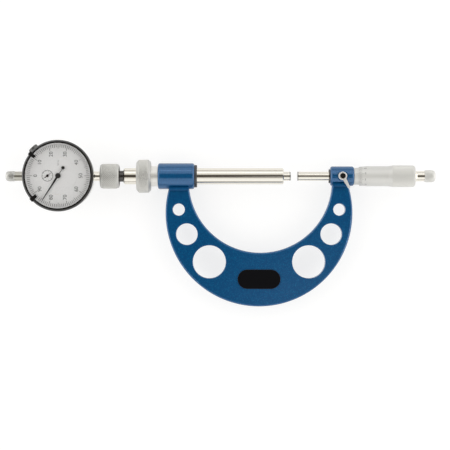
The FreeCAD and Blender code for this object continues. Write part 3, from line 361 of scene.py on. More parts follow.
def handling():
    """Faint smudges from handling, as a change of roughness."""
    tree, source, result = effect(
        "Handling", {"Roughness": 0.3, "Amount": 0.08}, {"Roughness": "NodeSocketFloat"}
    )
    place = node(tree, "ShaderNodeTexCoord").outputs["Object"]
    smudge = node(
        tree, "ShaderNodeTexNoise", {"Vector": place, "Scale": 130.0, "Detail": 4.0, "Distortion": 0.6}
    )
    centred = maths(tree, "SUBTRACT", smudge.outputs["Fac"], 0.5)
    change = times(tree, centred, source.outputs["Amount"])
    rough = plus(tree, source.outputs["Roughness"], change)
    tree.links.new(rough, result.inputs["Roughness"])
    return tree


def edge_wear():
    """Where a sharp edge has rubbed bright, found from how far the surface turns within a radius."""
    tree, source, result = effect(
        "Edge wear", {"Radius": 0.0004, "Strength": 4.0}, {"Mask": "NodeSocketFloat"}
    )
    turned = node(tree, "ShaderNodeBevel", {"Radius": source.outputs["Radius"]}, samples=4)
    plain = node(tree, "ShaderNodeNewGeometry").outputs["Normal"]
    same = node(
        tree, "ShaderNodeVectorMath", {0: turned.outputs["Normal"], 1: plain}, operation="DOT_PRODUCT"
    )
    away = maths(tree, "SUBTRACT", 1.0, same.outputs["Value"])
    mask = node(
        tree,
        "ShaderNodeMath",
        {0: away, 1: source.outputs["Strength"]},
        operation="MULTIPLY",
        use_clamp=True,
    )
    tree.links.new(mask.outputs[0], result.inputs["Mask"])
    return tree


def tree_named(name, maker):
    """A tree that is built once."""
    return bpy.data.node_groups.get(name) or maker()


def use(tree, name, inputs):
    """Places a shared effect in a material."""
    makers = {
        "Hammered skin": hammered_skin,
        "Tool marks": tool_marks,
        "Handling": handling,
        "Edge wear": edge_wear,
    }
    return node(tree, "ShaderNodeGroup", inputs, node_tree=tree_named(name, makers[name]))


def finish_named(name, build):
    """A material that is made once, by a function that gets its tree and its Principled shader."""
    made = bpy.data.materials.get(name)
    if made is None:
        made = bpy.data.materials.new(name)
        made.use_nodes = True
        build(made.node_tree, made.node_tree.nodes["Principled BSDF"])
    return made


def bump(tree, shader, height, distance, strength=1.0):
    """Feeds a height to the shader's normal."""
    made = node(tree, "ShaderNodeBump", {"Strength": strength, "Distance": distance, "Height": height})
    tree.links.new(made.outputs["Normal"], shader.inputs["Normal"])


def mix(tree, factor, first, second):
    """Blends two colours."""
    made = node(tree, "ShaderNodeMix", {"Factor": factor}, data_type="RGBA")
    for place, value in ((6, first), (7, second)):
        if isinstance(value, bpy.types.NodeSocket):
            tree.links.new(value, made.inputs[place])
        else:
            made.inputs[place].default_value = (*value[:3], 1)
    return made.outputs[2]


def enamel(colours):
    """Hammered blue enamel with bright flecks of painted glint, and rubbed edges."""
    rubbed_blue = (0.16, 0.33, 0.52)
    dimple_depth = 0.06 * MM

    def build(tree, shader):
        skin = use(tree, "Hammered skin", {"Scale": 820.0})
        wear = use(tree, "Edge wear", {"Radius": 0.0005, "Strength": 1.4})
        # Painted glints: lighter blue flecks mixed into the enamel's colour.
        blue = mix(tree, skin.outputs["Painted glint"], colours.enamel, colours.enamel_light)
        rubbed = mix(tree, times(tree, wear.outputs["Mask"], 0.5), blue, rubbed_blue)
        shine = use(tree, "Handling", {"Roughness": 0.15, "Amount": 0.08}).outputs[0]
        fill(tree, shader, {"Base Color": rubbed, "Roughness": shine, "Metallic": 0.3, "IOR": 1.85})
        bump(tree, shader, skin.outputs["Height"], dimple_depth, 0.4)

    return finish_named("Hammered enamel", build)


def distance_along_x(tree):
    """How far a point lies along the measuring line."""
    place = node(tree, "ShaderNodeTexCoord").outputs["Object"]
    return node(tree, "ShaderNodeSeparateXYZ", {0: place}).outputs["X"]


def distance_from(tree, centre, shares):
    """How far a point lies from a centre, with each axis counted by its share."""
    place = node(tree, "ShaderNodeTexCoord").outputs["Object"]
    centred = node(tree, "ShaderNodeMapping", {"Vector": place, "Location": [-value for value in centre]})
    flat = node(tree, "ShaderNodeVectorMath", {0: centred.outputs[0], 1: shares}, operation="MULTIPLY")
    return node(tree, "ShaderNodeVectorMath", {0: flat.outputs[0]}, operation="LENGTH").outputs["Value"]


def metal(
    name, colour, roughness, rings=9000.0, depth=0.002, amount=0.08, about=None, dark_from=None, knurled=None
):
    """Turned or ground metal. Its rings run along X, or round a vertical axis through a point.

    rings says how many go to a metre, depth is their depth in millimetres, and amount is how much smudges
    change the roughness. dark_from is the place along X from which the metal is oiled dark. knurled holds
    the radii between which a knurl on a drum along X rises, and paints shade into its grooves, darker towards
    the drum."""

    def build(tree, shader):
        if about is None:
            distance = distance_along_x(tree)
        else:
            distance = distance_from(tree, (about.x, about.y, 0), (1, 1, 0))
        marks = use(tree, "Tool marks", {"Distance": distance, "Per metre": rings})
        tone = mix(tree, marks.outputs["Shade"], [c * 0.6 for c in colour], colour)
        if dark_from is not None:
            oiled = (0.10, 0.10, 0.10)
            tone = mix(tree, maths(tree, "GREATER_THAN", distance, dark_from), tone, oiled)
        # Painted shade: the knurl's colour darkens towards the drum's radius, in its grooves.
        if knurled:
            away = distance_from(tree, (0, 0, 0), (0, 1, 1))
            reach = {"Value": away, "From Min": knurled[0], "From Max": knurled[1]}
            above = node(tree, "ShaderNodeMapRange", reach)
            tone = mix(tree, above.outputs[0], [c * 0.45 for c in colour], tone)
        rough = use(tree, "Handling", {"Roughness": roughness, "Amount": amount}).outputs[0]
        fill(tree, shader, {"Base Color": tone, "Metallic": 1.0, "Roughness": rough})
        bump(tree, shader, marks.outputs["Height"], depth * MM)

    return finish_named(name, build)


def paint(name, colour, roughness, coat=0.0, grain=0.0, worn=None, specular=0.5):
    """Paint, ink or lacquer with a faint grain, and with rubbed edges if a colour is given for them."""

    def build(tree, shader):
        place = node(tree, "ShaderNodeTexCoord").outputs["Object"]
        cloud = node(tree, "ShaderNodeTexNoise", {"Vector": place, "Scale": 1400.0, "Detail": 3.0})
        darker = [c * 0.93 for c in colour]
        lighter = [min(c * 1.06, 1) for c in colour]
        tone = mix(tree, cloud.outputs["Fac"], darker, lighter)
        if worn:
            wear = use(tree, "Edge wear", {"Radius": 0.0003, "Strength": 2.0})
            tone = mix(tree, times(tree, wear.outputs["Mask"], 0.35), tone, worn)
        rough = use(tree, "Handling", {"Roughness": roughness, "Amount": 0.1}).outputs[0]
        fill(tree, shader, {"Base Color": tone, "Roughness": rough, "Specular IOR Level": specular})
        fill(tree, shader, {"Coat Weight": coat, "Coat Roughness": 0.08})
        if grain:
            bump(tree, shader, cloud.outputs["Fac"], grain * MM)

    return finish_named(name, build)


def glass():
    """The crystal, which lets lamps through to the dial."""

    def build(tree, shader):
        clear_glass = {"Base Color": (1, 1, 1, 1), "Metallic": 0.0, "Transmission Weight": 1.0, "IOR": 1.45}
        place = node(tree, "ShaderNodeTexCoord").outputs["Object"]
        smear = node(tree, "ShaderNodeTexNoise", {"Vector": place, "Scale": 60.0, "Detail": 3.0})
        rough = node(
            tree,
            "ShaderNodeMapRange",
            {"Value": smear.outputs["Fac"], "From Min": 0.55, "From Max": 0.9, "To Min": 0.0, "To Max": 0.05},
        )
        fill(tree, shader, {**clear_glass, "Roughness": rough.outputs[0]})
        clear = node(tree, "ShaderNodeBsdfTransparent")
        shadow = node(tree, "ShaderNodeLightPath").outputs["Is Shadow Ray"]
        both = {0: shadow, 1: shader.outputs["BSDF"], 2: clear.outputs["BSDF"]}
        mixed = node(tree, "ShaderNodeMixShader", both)
        tree.links.new(mixed.outputs[0], tree.nodes["Material Output"].inputs["Surface"])

    return finish_named("Crystal", build)


def ground_steel(colours):
    return metal("Ground steel", colours.steel, 0.13, rings=14000.0, amount=0.05)


def knurled_steel(colours):
    duller = [c * 0.66 for c in colours.knurled]
    return metal("Knurled steel", duller, 0.42, rings=5000.0, depth=0.008, amount=0.12)


def nut_steel():
    return metal("Nut steel", (0.60, 0.60, 0.58), 0.5, rings=5000.0, depth=0.008, amount=0.12)


def soiled_knurl(colours, solid, radii):
    """Knurled steel of one drum, with painted shade in the grooves between its diamonds."""
    name = "Knurl of " + solid
    return metal(name, colours.knurled, 0.55, rings=5000.0, depth=0.008, amount=0.12, knurled=radii)


def satin_chrome(colours):
    return metal("Satin chrome", colours.chrome, 0.6, rings=7000.0, depth=0.004)


def pale_steel():
    return metal("Pale steel", (0.86, 0.85, 0.82), 0.5, rings=3500.0, depth=0.012, dark_from=BOSS_END)


def case_chrome():
    return metal("Housing chrome", (0.66, 0.65, 0.62), 0.3, rings=6000.0, about=DIAL)


def lever_chrome():
    return metal("Lever chrome", (0.93, 0.93, 0.92), 0.5, rings=4000.0, about=middle("lock_screw"))


def dark_steel():
    return metal("Dark steel", (0.15, 0.15, 0.145), 0.4, rings=6000.0, amount=0.14)


def blackened_steel():
    return metal("Blackened steel", (0.10, 0.097, 0.094), 0.26, rings=2600.0, depth=0.02)


def turned_steel():
    return metal("Turned steel", (0.5, 0.49, 0.44), 0.3, rings=5000.0)


def carbide():
    return metal("Carbide", (0.47, 0.46, 0.44), 0.2, rings=20000.0, amount=0.04)


def brass():
    return metal("Brass", (0.72, 0.52, 0.24), 0.3, rings=6000.0, about=DIAL)


def spring_steel():
    return metal("Spring steel", (0.45, 0.44, 0.43), 0.28, rings=4000.0)


def black_gloss():
    return paint("Black lacquer", (0.008, 0.008, 0.008), 0.18, coat=0.7, worn=(0.22, 0.22, 0.21))


def black_plate():
    worn = (0.2, 0.2, 0.2)
    return paint("Plate enamel", (0.004, 0.004, 0.005), 0.3, grain=0.01, worn=worn, specular=0.12)


def dial_paint(colours):
    return paint("Dial paint", colours.dial, 0.55, grain=0.002)


def rim_paint():
    return paint("Rim paint", (0.78, 0.78, 0.78), 0.5, grain=0.002)


def ink(colours):
    return paint("Ink", colours.ink, 0.6)


def etched_grey():
    return paint("Etched grey", (0.10, 0.10, 0.10), 0.6)


def pointer_black():
    return paint("Pointer black", (0.010, 0.010, 0.010), 0.35, coat=0.2)


def dress(finish, *nodes):
    """Gives solids their finish."""
    for name in nodes:
        frame["nodes"][name].material_slots[0].material = finish


def keep(name, mesh, finish, body):
    """Makes a mesh a piece of the object: its finish and the body that it moves with."""
    made = bpy.data.objects.new(name, mesh)
    bpy.context.scene.collection.objects.link(made)
    if finish:
        mesh.materials.clear()
        mesh.materials.append(finish)
    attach(made, body)
    return made


def growing_tree(name, inputs):
    """An empty Geometry Nodes tree with named inputs, given as {name: kind}."""
    tree = bpy.data.node_groups.new(name, "GeometryNodeTree")
    for label, kind in inputs.items():
        tree.interface.new_socket(label, in_out="INPUT", socket_type="NodeSocket" + kind)
    tree.interface.new_socket("Geometry", in_out="OUTPUT", socket_type="NodeSocketGeometry")
    return tree, tree.nodes.new("NodeGroupInput").outputs, tree.nodes.new("NodeGroupOutput")


def grow(tree, values):
    """The plain mesh that a tree makes from its named inputs."""
    seed = bpy.data.objects.new("seed", bpy.data.meshes.new("seed"))
    bpy.context.scene.collection.objects.link(seed)
    modifier = seed.modifiers.new("grow", "NODES")
    modifier.node_group = tree
    sockets = {item.name: item.identifier for item in tree.interface.items_tree if item.in_out == "INPUT"}
    for label, value in values.items():
        modifier[sockets[label]] = value
    bpy.context.view_layer.update()
    evaluated = seed.evaluated_get(bpy.context.evaluated_depsgraph_get())
    mesh = bpy.data.meshes.new_from_object(evaluated)
    bpy.data.objects.remove(seed)
    return mesh


def end_tree(tree, result, instances, material):
    """Realizes the instances and gives them their finish."""
    real = node(tree, "GeometryNodeRealizeInstances", {"Geometry": instances})
    painted = node(tree, "GeometryNodeSetMaterial", {"Geometry": real.outputs[0], "Material": material})
    tree.links.new(painted.outputs[0], result.inputs["Geometry"])


def knurl_tree():
    """Diamonds in staggered rows round a drum along X."""
    tree, source, result = growing_tree(
        "Diamond knurl",
        {
            "Radius": "Float",
            "Start": "Float",
            "Length": "Float",
            "Around": "Int",
            "Rows": "Int",
            "Height": "Float",
            "Finish": "Material",
        },
    )
    index = node(tree, "GeometryNodeInputIndex").outputs[0]
    row = maths(tree, "FLOOR", maths(tree, "DIVIDE", index, source["Around"]))
    column = maths(tree, "MODULO", index, source["Around"])
    stagger = times(tree, maths(tree, "MODULO", row, 2.0), 0.5)
    share = maths(tree, "DIVIDE", plus(tree, column, stagger), source["Around"])
    angle = times(tree, share, math.tau)
    half_along = maths(tree, "DIVIDE", source["Length"], plus(tree, source["Rows"], 1.0))
    half_round = maths(tree, "DIVIDE", times(tree, source["Radius"], math.pi), source["Around"])
    rows_on = times(tree, plus(tree, row, 1.0), half_along)
    along = plus(tree, source["Start"], rows_on)
    opposite = times(tree, source["Radius"], -1.0)
    across = times(tree, maths(tree, "SINE", angle), opposite)
    up = times(tree, maths(tree, "COSINE", angle), source["Radius"])
    where = node(tree, "ShaderNodeCombineXYZ", {0: along, 1: across, 2: up})
    count = times(tree, source["Around"], source["Rows"])
    points = node(tree, "GeometryNodePoints", {"Count": count, "Position": where.outputs[0]})
    diamond = node(
        tree,
        "GeometryNodeMeshCone",
        {"Vertices": 4, "Radius Top": 0.12, "Radius Bottom": 1.0, "Depth": 1.0},
    )
    size = node(tree, "ShaderNodeCombineXYZ", {0: half_along, 1: half_round, 2: source["Height"]})
    turned = node(tree, "ShaderNodeCombineXYZ", {0: angle})
    tilt = node(tree, "FunctionNodeEulerToRotation", {0: turned.outputs[0]})
    placed = node(
        tree,
        "GeometryNodeInstanceOnPoints",
        {
            "Points": points.outputs[0],
            "Instance": diamond.outputs["Mesh"],
            "Rotation": tilt.outputs[0],
            "Scale": size.outputs[0],
        },
    )
    end_tree(tree, result, placed.outputs[0], source["Finish"])
    return tree


def divisions_tree():
    """Marks in a row along X that run up Y, with every fifth and every tenth one longer."""
    tree, source, result = growing_tree(
        "Divisions",
        {
            "Count": "Int",
            "Pitch": "Float",
            "Short": "Float",
            "Middle": "Float",
            "Long": "Float",
            "Width": "Float",
            "Height": "Float",
            "Finish": "Material",
        },
    )
    index = node(tree, "GeometryNodeInputIndex").outputs[0]
    fifth = maths(tree, "COMPARE", maths(tree, "MODULO", index, 5.0), 0.0, 0.1)
    tenth = maths(tree, "COMPARE", maths(tree, "MODULO", index, 10.0), 0.0, 0.1)
    longer = times(tree, fifth, maths(tree, "SUBTRACT", source["Middle"], source["Short"]))
    longest = times(tree, tenth, maths(tree, "SUBTRACT", source["Long"], source["Middle"]))
    length = plus(tree, source["Short"], plus(tree, longer, longest))
    where = node(
        tree,
        "ShaderNodeCombineXYZ",
        {0: times(tree, index, source["Pitch"]), 1: times(tree, length, 0.5)},
    )
    points = node(tree, "GeometryNodePoints", {"Count": source["Count"], "Position": where.outputs[0]})
    bar = node(tree, "GeometryNodeMeshCube", {"Size": (1, 1, 1), "Vertices X": 2, "Vertices Y": 5})
    size = node(tree, "ShaderNodeCombineXYZ", {0: source["Width"], 1: length, 2: source["Height"]})
    placed = node(
        tree,
        "GeometryNodeInstanceOnPoints",
        {"Points": points.outputs[0], "Instance": bar.outputs["Mesh"], "Scale": size.outputs[0]},
    )
    end_tree(tree, result, placed.outputs[0], source["Finish"])
    return tree


def body_of(solid):
    """The body that a solid moves with."""
    return frame["nodes"][solid]["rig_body"]


def knurl(name, solid, from_start, from_end, pitch, share, finish):
    """Knurls a solid's outside, leaving it bare as far as given from its two ends along X."""
    start, end = span(solid, 0)
    radius = span(solid, 1)[1]
    length = end - from_end - (start + from_start)
    values = {
        "Radius": radius,
        "Start": start + from_start,
        "Length": length,
        "Around": round(math.tau * radius / pitch),
        "Rows": max(2, round(2 * length / pitch) - 1),
        "Height": pitch * share,
        "Finish": finish,
    }
    keep(name, grow(tree_named("Diamond knurl", knurl_tree), values), None, body_of(solid))


def divisions(count, pitch, lengths, width, height):
    """A flat row of marks."""
    values = dict(zip(("Short", "Middle", "Long"), lengths))
    values.update(Count=count, Pitch=pitch, Width=width, Height=height)
    return grow(tree_named("Divisions", divisions_tree), values)


def lettering(text, tall, thick):
    """Digits as a flat closed mesh around their middle, tall as given."""
    curve = bpy.data.curves.new("digits", "FONT")
    curve.body = text
    curve.align_x = "CENTER"
    curve.align_y = "CENTER"
    curve.resolution_u = 3
    curve.extrude = 0.5
    writer = bpy.data.objects.new("digits", curve)
    bpy.context.scene.collection.objects.link(writer)
    bpy.context.view_layer.update()
    mesh = bpy.data.meshes.new_from_object(writer.evaluated_get(bpy.context.evaluated_depsgraph_get()))
    bpy.data.objects.remove(writer)
    cap_height = 0.7
    scale = tall / cap_height
    mesh.transform(Matrix.Diagonal((scale, scale, thick, 1)))
    return mesh


def wrap(mesh, place):
    """Moves each point of a flat mesh to its place. What it does to the faces' sides, joined puts right."""
    for vertex in mesh.vertices:
        vertex.co = place(*vertex.co)
    return mesh


def joined(name, meshes):
    """One mesh from several, with its faces outwards."""
    work = bmesh.new()
    for mesh in meshes:
        work.from_mesh(mesh)
        bpy.data.meshes.remove(mesh)
    bmesh.ops.remove_doubles(work, verts=work.verts, dist=1e-8)
    bmesh.ops.recalc_face_normals(work, faces=work.faces)
    made = bpy.data.meshes.new(name)
    work.to_mesh(made)
    work.free()
    return made


def on_disc(centre, outer, level):
    """Bends a row into a circle, clockwise from -X: X is the way round in radians, and Y the way in."""

    def place(x, y, z):
        angle = math.pi - x
        radius = outer - y
        return Vector((centre.x + radius * math.cos(angle), centre.y + radius * math.sin(angle), level + z))

    return place


def on_drum(start, radius, facing):
    """Rolls a flat sheet on a drum along X: X stays along the drum and Y goes round it."""

    def place(x, y, z):
        angle = facing + y / radius
        return Vector((start + x, (radius + z) * math.sin(angle), (radius + z) * math.cos(angle)))

    return place


def plain_place(centre, level, turn):
    """Puts a flat mesh down at a point, turned about Z."""
    matrix = Matrix.Translation((centre[0], centre[1], level)) @ Euler((0, 0, turn)).to_matrix().to_4x4()

    def place(x, y, z):
        return matrix @ Vector((x, y, z))

    return place


class MICROMETER_OT_bow(bpy.types.Operator):
    """Enamels the bow and its bare plate"""

    bl_idname = "micrometer.bow"
    bl_label = "Bow and plate"

    def execute(self, context):
        colours = context.scene.micrometer_finish
        dress(enamel(colours), "frame")
        dress(black_plate(), "name_plate")
        return {"FINISHED"}


class MICROMETER_OT_fillets(bpy.types.Operator):
    """Rounds the corners between the bosses and the bow"""

    bl_idname = "micrometer.fillets"
    bl_label = "Casting fillets"

    def execute(self, context):
        sizes = context.scene.micrometer_sizes
        solid = frame["nodes"]["frame"]
        cast = bmesh.new()
        cast.from_mesh(solid.data)
        faces = BVHTree.FromBMesh(cast)
        cast.free()
        plate = span("name_plate", 2)[0]
        work = bmesh.new()
        drums = (
            (BOSS_START + BOSS_LENGTH / 2, span("frame", 2)[1]),
            (middle("lock_screw").x, RIGHT_BOSS_R),
        )
        for place, radius in drums:
            for side in (1, -1):
                corner_fillet(work, faces, place, radius, plate, sizes.casting_fillet, side)
        bmesh.ops.recalc_face_normals(work, faces=work.faces)
        mesh = bpy.data.meshes.new("boss_fillets")
        work.to_mesh(mesh)
        work.free()
        mesh.shade_smooth()
        mesh.set_sharp_from_angle(angle=math.radians(35))
        colours = context.scene.micrometer_finish
        keep("boss_fillets", mesh, enamel(colours), body_of("frame"))
        return {"FINISHED"}


def corner_fillet(work, faces, place, drum, plate, radius, side):
    """A hollow strip that rounds the corner between a drum along X and the bow's flat face."""
    across = -math.sqrt((drum + radius) ** 2 - (plate + radius) ** 2)
    start = Vector((place, across, side * (plate - radius / 4)))
    ends = [faces.ray_cast(start, Vector((way, 0, 0)))[0].x for way in (-1, 1)]
    inwards = drum / (drum + radius)
    on_drum_end = math.atan2(plate + radius, across) + math.pi
    on_plate_end = -math.pi / 2
    steps = 8
    sunk = 0.02 * MM
    section = [(across * inwards + 2 * sunk, plate - 2 * sunk)]
    for i in range(steps + 1):
        angle = on_plate_end + (on_drum_end - on_plate_end) * i / steps
        reach = radius + sunk
        section.append((across + reach * math.cos(angle), plate + radius + reach * math.sin(angle)))
    rims = [[work.verts.new((x, y, side * z)) for y, z in section] for x in ends]
    count = len(section)
    for i in range(count):
        j = (i + 1) % count
        work.faces.new((rims[0][i], rims[0][j], rims[1][j], rims[1][i]))
    for rim in rims:
        work.faces.new(rim)


class MICROMETER_OT_anvil_side(bpy.types.Operator):
    """Finishes the sliding tube, the anvil, the bush and the black neck"""

    bl_idname = "micrometer.anvil_side"
    bl_label = "Tube and anvil"

    def execute(self, context):
        colours = context.scene.micrometer_finish
        dress(ground_steel(colours), "anvil_tube", "anvil_rod", "mouth_bush")
        dress(pale_steel(), "guide_bush")
        dress(carbide(), "anvil_tip", "contact_point")
        dress(blackened_steel(), "stem_collet")
        dress(brass(), "spring_seat")
        return {"FINISHED"}


class MICROMETER_OT_springs(bpy.types.Operator):
    """Copies the two springs and sets each on the body of its holder, in place of its solid"""

    bl_idname = "micrometer.springs"
    bl_label = "Springs"

    def execute(self, context):
        finish = spring_steel()
        for name, solid, holder in (
            ("anvil_coil", "anvil_spring", "spring_seat"),
            ("plunger_coil", "plunger_spring", "indicator_case"),
        ):
            mesh = frame["nodes"][solid].data.copy()
            mesh.transform(frame["nodes"][solid].matrix_world)
            made = keep(name, mesh, finish, body_of(holder))
            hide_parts(solid)
            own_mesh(made)
        return {"FINISHED"}


class MICROMETER_OT_nuts(bpy.types.Operator):
    """Finishes the two nuts and knurls them"""

    bl_idname = "micrometer.nuts"
    bl_label = "Knurled nuts"

    def execute(self, context):
        sizes = context.scene.micrometer_sizes
        colours = context.scene.micrometer_finish
        dress(nut_steel(), "clamp_nut", "chuck_nut")
        plain_end = 1.7 * MM
        pitch = sizes.knurl_pitch
        share = sizes.knurl_rise
        for solid in ("clamp_nut", "chuck_nut"):
            radius = span(solid, 1)[1]
            # Each knurl's finish has painted shade in its grooves.
            finish = soiled_knurl(colours, solid, (radius, radius + pitch * share))
            knurl(solid + "_knurl", solid, plain_end, plain_end, pitch, share, finish)
        return {"FINISHED"}


class MICROMETER_OT_head(bpy.types.Operator):
    """Finishes the micrometer head and knurls its grip and its ratchet knob"""

    bl_idname = "micrometer.head"
    bl_label = "Micrometer head"

    def execute(self, context):
        colours = context.scene.micrometer_finish
        sizes = context.scene.micrometer_sizes
        chrome = satin_chrome(colours)
        dress(ground_steel(colours), "spindle", "ratchet_body")
        dress(blackened_steel(), "barrel")
        dress(chrome, "sleeve", "thimble", "ratchet_knob")
        dress(knurled_steel(colours), "adjusting_nut")
        dress(carbide(), "spindle_tip")
        start, end = span("thimble", 0)
        grip = 19.5 * MM
        bare = 1.3 * MM
        rounded = 2.6 * MM
        pitch = sizes.fine_pitch
        share = sizes.knurl_rise
        smooth = end - start - grip + bare / 2
        knurl("grip_knurl", "thimble", smooth, bare, pitch, share, chrome)
        knurl("knob_knurl", "ratchet_knob", bare / 2, rounded, pitch, share, chrome)
        return {"FINISHED"}


class MICROMETER_OT_head_scale(bpy.types.Operator):
    """Draws the sleeve's line, divisions and numbers, and those round the thimble"""

    bl_idname = "micrometer.head_scale"
    bl_label = "Sleeve and thimble scale"

    def execute(self, context):
        sizes = context.scene.micrometer_sizes
        finish = etched_grey()
        rise = sizes.print_rise
        width = sizes.line_width
        digits_tall = 1.5 * MM
        turned_to_reader = math.radians(14)

        def on_sleeve(start, further=0.0):
            return on_drum(start, SLEEVE_R, turned_to_reader + further)

        whole, fifth = 1.5 * MM, 2.2 * MM
        half = 1.2 * MM
        upper = divisions(sizes.travel + 1, MM, (whole, fifth, fifth), width, rise)
        wrap(upper, on_sleeve(ZERO_LINE))
        lower = divisions(sizes.travel, MM, (half,) * 3, width, rise)
        wrap(lower, lambda x, y, z: on_sleeve(ZERO_LINE + MM / 2)(x, -y, z))
        line_start = span("sleeve", 0)[0] + 0.8 * MM
        line = divisions(1, MM, (span("sleeve", 0)[1] - line_start,) * 3, width, rise)
        wrap(line, lambda x, y, z: on_sleeve(line_start)(y, x, z))
        marks = [upper, lower, line]
        numbers_up = 3.4 * MM / SLEEVE_R
        for number in range(0, sizes.travel + 1, 5):
            digits = lettering(str(number), digits_tall, rise)
            marks.append(wrap(digits, on_sleeve(ZERO_LINE + number * MM, numbers_up)))
        keep("sleeve_scale", joined("sleeve_scale", marks), finish, body_of("sleeve"))

        bevel = 6.5 * MM
        edge_r = 7.7 * MM
        below_drum = 0.4 * MM
        slope = (span("thimble", 1)[1] - below_drum - edge_r) / bevel

        def on_bevel(angle, along, height):
            radius = edge_r + slope * along + height
            return Vector((ZERO_LINE + along, radius * math.sin(angle), radius * math.cos(angle)))

        step = math.tau / sizes.drum_ticks
        short, long = 2.0 * MM, 3.0 * MM
        from_edge = 0.1 * MM
        numbers_in = 4.6 * MM
        drum = divisions(sizes.drum_ticks, step, (short, long, long), width / edge_r, rise)
        marks = [wrap(drum, lambda x, y, z: on_bevel(turned_to_reader - x, y + from_edge, z))]
        for tick in range(0, sizes.drum_ticks, 5):
            digits = lettering(str(tick), digits_tall, rise)
            turn = turned_to_reader - tick * step
            marks.append(
                wrap(digits, lambda x, y, z, turn=turn: on_bevel(turn + y / edge_r, x + numbers_in, z))
            )
        keep("thimble_scale", joined("thimble_scale", marks), finish, body_of("thimble"))
        return {"FINISHED"}


class MICROMETER_OT_lock(bpy.types.Operator):
    """Finishes the lock lever and its screw"""

    bl_idname = "micrometer.lock"
    bl_label = "Spindle lock"

    def execute(self, context):
        dress(lever_chrome(), "lock_lever")
        dress(blackened_steel(), "lock_screw")
        return {"FINISHED"}


class MICROMETER_OT_indicator(bpy.types.Operator):
    """Finishes the indicator's case, stem, plunger and works, and knurls its dust cap"""

    bl_idname = "micrometer.indicator"
    bl_label = "Indicator case"

    def execute(self, context):
        colours = context.scene.micrometer_finish
        sizes = context.scene.micrometer_sizes
        dress(case_chrome(), "indicator_case", "back_cover")
        dress(dark_steel(), "back_screws", "bezel_clamp_screw")
        dress(ground_steel(colours), "indicator_stem", "plunger")
        dress(turned_steel(), "cap_bush")
        dress(brass(), "front_plate", "rear_plate", "gear_arbor", "centre_arbor")
        finish = knurled_steel(colours)
        dress(finish, "dust_cap")
        rounded = 2.6 * MM
        bare = 0.6 * MM
        pitch = sizes.fine_pitch
        share = sizes.knurl_rise
        knurl("dust_cap_knurl", "dust_cap", rounded, bare, pitch, share, finish)
        return {"FINISHED"}


class MICROMETER_OT_bezel(bpy.types.Operator):
    """Finishes the bezel, its crystal, the limit markers and the pointers"""

    bl_idname = "micrometer.bezel"
    bl_label = "Bezel and pointers"

    def execute(self, context):
        dress(black_gloss(), "bezel", "upper_marker", "lower_marker")
        dress(glass(), "crystal")
        dress(rim_paint(), "white_rim")
        dress(pointer_black(), "pointer", "counter_pointer")
        return {"FINISHED"}


class MICROMETER_OT_dial(bpy.types.Operator):
    """Paints the dial and prints its divisions, numbers and turn counter"""

    bl_idname = "micrometer.dial"
    bl_label = "Dial"

    def execute(self, context):
        colours = context.scene.micrometer_finish
        sizes = context.scene.micrometer_sizes
        dress(dial_paint(colours), "scale_ring", "dial_middle")
        finish = ink(colours)
        rise = sizes.print_rise
        level = DIAL_FACE + rise / 4
        outer = sizes.tick_outer
        lengths = (sizes.tick_short, (sizes.tick_short + sizes.tick_long) / 2, sizes.tick_long)
        step = math.tau / sizes.dial_ticks
        ticks = divisions(sizes.dial_ticks, step, lengths, sizes.tick_width / outer, rise)
        marks = [wrap(ticks, on_disc(DIAL, outer, level))]
        upright = math.pi / 2
        numbers = 10
        for i in range(numbers):
            angle = math.pi - i * math.tau / numbers
            digits = lettering(str(i * sizes.dial_ticks // numbers), sizes.number_tall, rise)
            centre = (
                DIAL.x + sizes.number_radius * math.cos(angle),
                DIAL.y + sizes.number_radius * math.sin(angle),
            )
            marks.append(wrap(digits, plain_place(centre, level, upright)))
        keep("dial_scale", joined("dial_scale", marks), finish, body_of("scale_ring"))

        radius = sizes.counter_radius
        width = 0.28 * MM
        tick = 1.1 * MM
        unit_tall = 0.9 * MM
        unit_up = 10.5 * MM
        inner = divisions(numbers, math.tau / numbers, (tick,) * 3, width / radius, rise)
        marks = [wrap(inner, on_disc(COUNTER, radius, level))]
        marks.append(printed_ring(COUNTER, radius, width, rise))
        unit = lettering("0.01 mm", unit_tall, rise)
        marks.append(wrap(unit, plain_place((DIAL.x, DIAL.y + unit_up), level, upright)))
        keep("counter_scale", joined("counter_scale", marks), finish, body_of("dial_middle"))
        return {"FINISHED"}


def printed_ring(centre, radius, width, rise):
    """A thin ring that lies on the dial's face."""
    mesh = bpy.data.meshes.new("ring")
    work = bmesh.new()
    segments = 96
    rims = []
    for rim_radius in (radius, radius + width):
        for height in (0.0, rise):
            rim = []
            for i in range(segments):
                angle = i * math.tau / segments
                x = centre.x + rim_radius * math.cos(angle)
                y = centre.y + rim_radius * math.sin(angle)
                rim.append(work.verts.new((x, y, DIAL_FACE + height)))
            rims.append(rim)
    low_in, high_in, low_out, high_out = rims
    for first, second in ((low_in, high_in), (high_in, high_out), (high_out, low_out), (low_out, low_in)):
        for i in range(segments):
            j = (i + 1) % segments
            work.faces.new((first[i], first[j], second[j], second[i]))
    work.to_mesh(mesh)
    work.free()
    return mesh


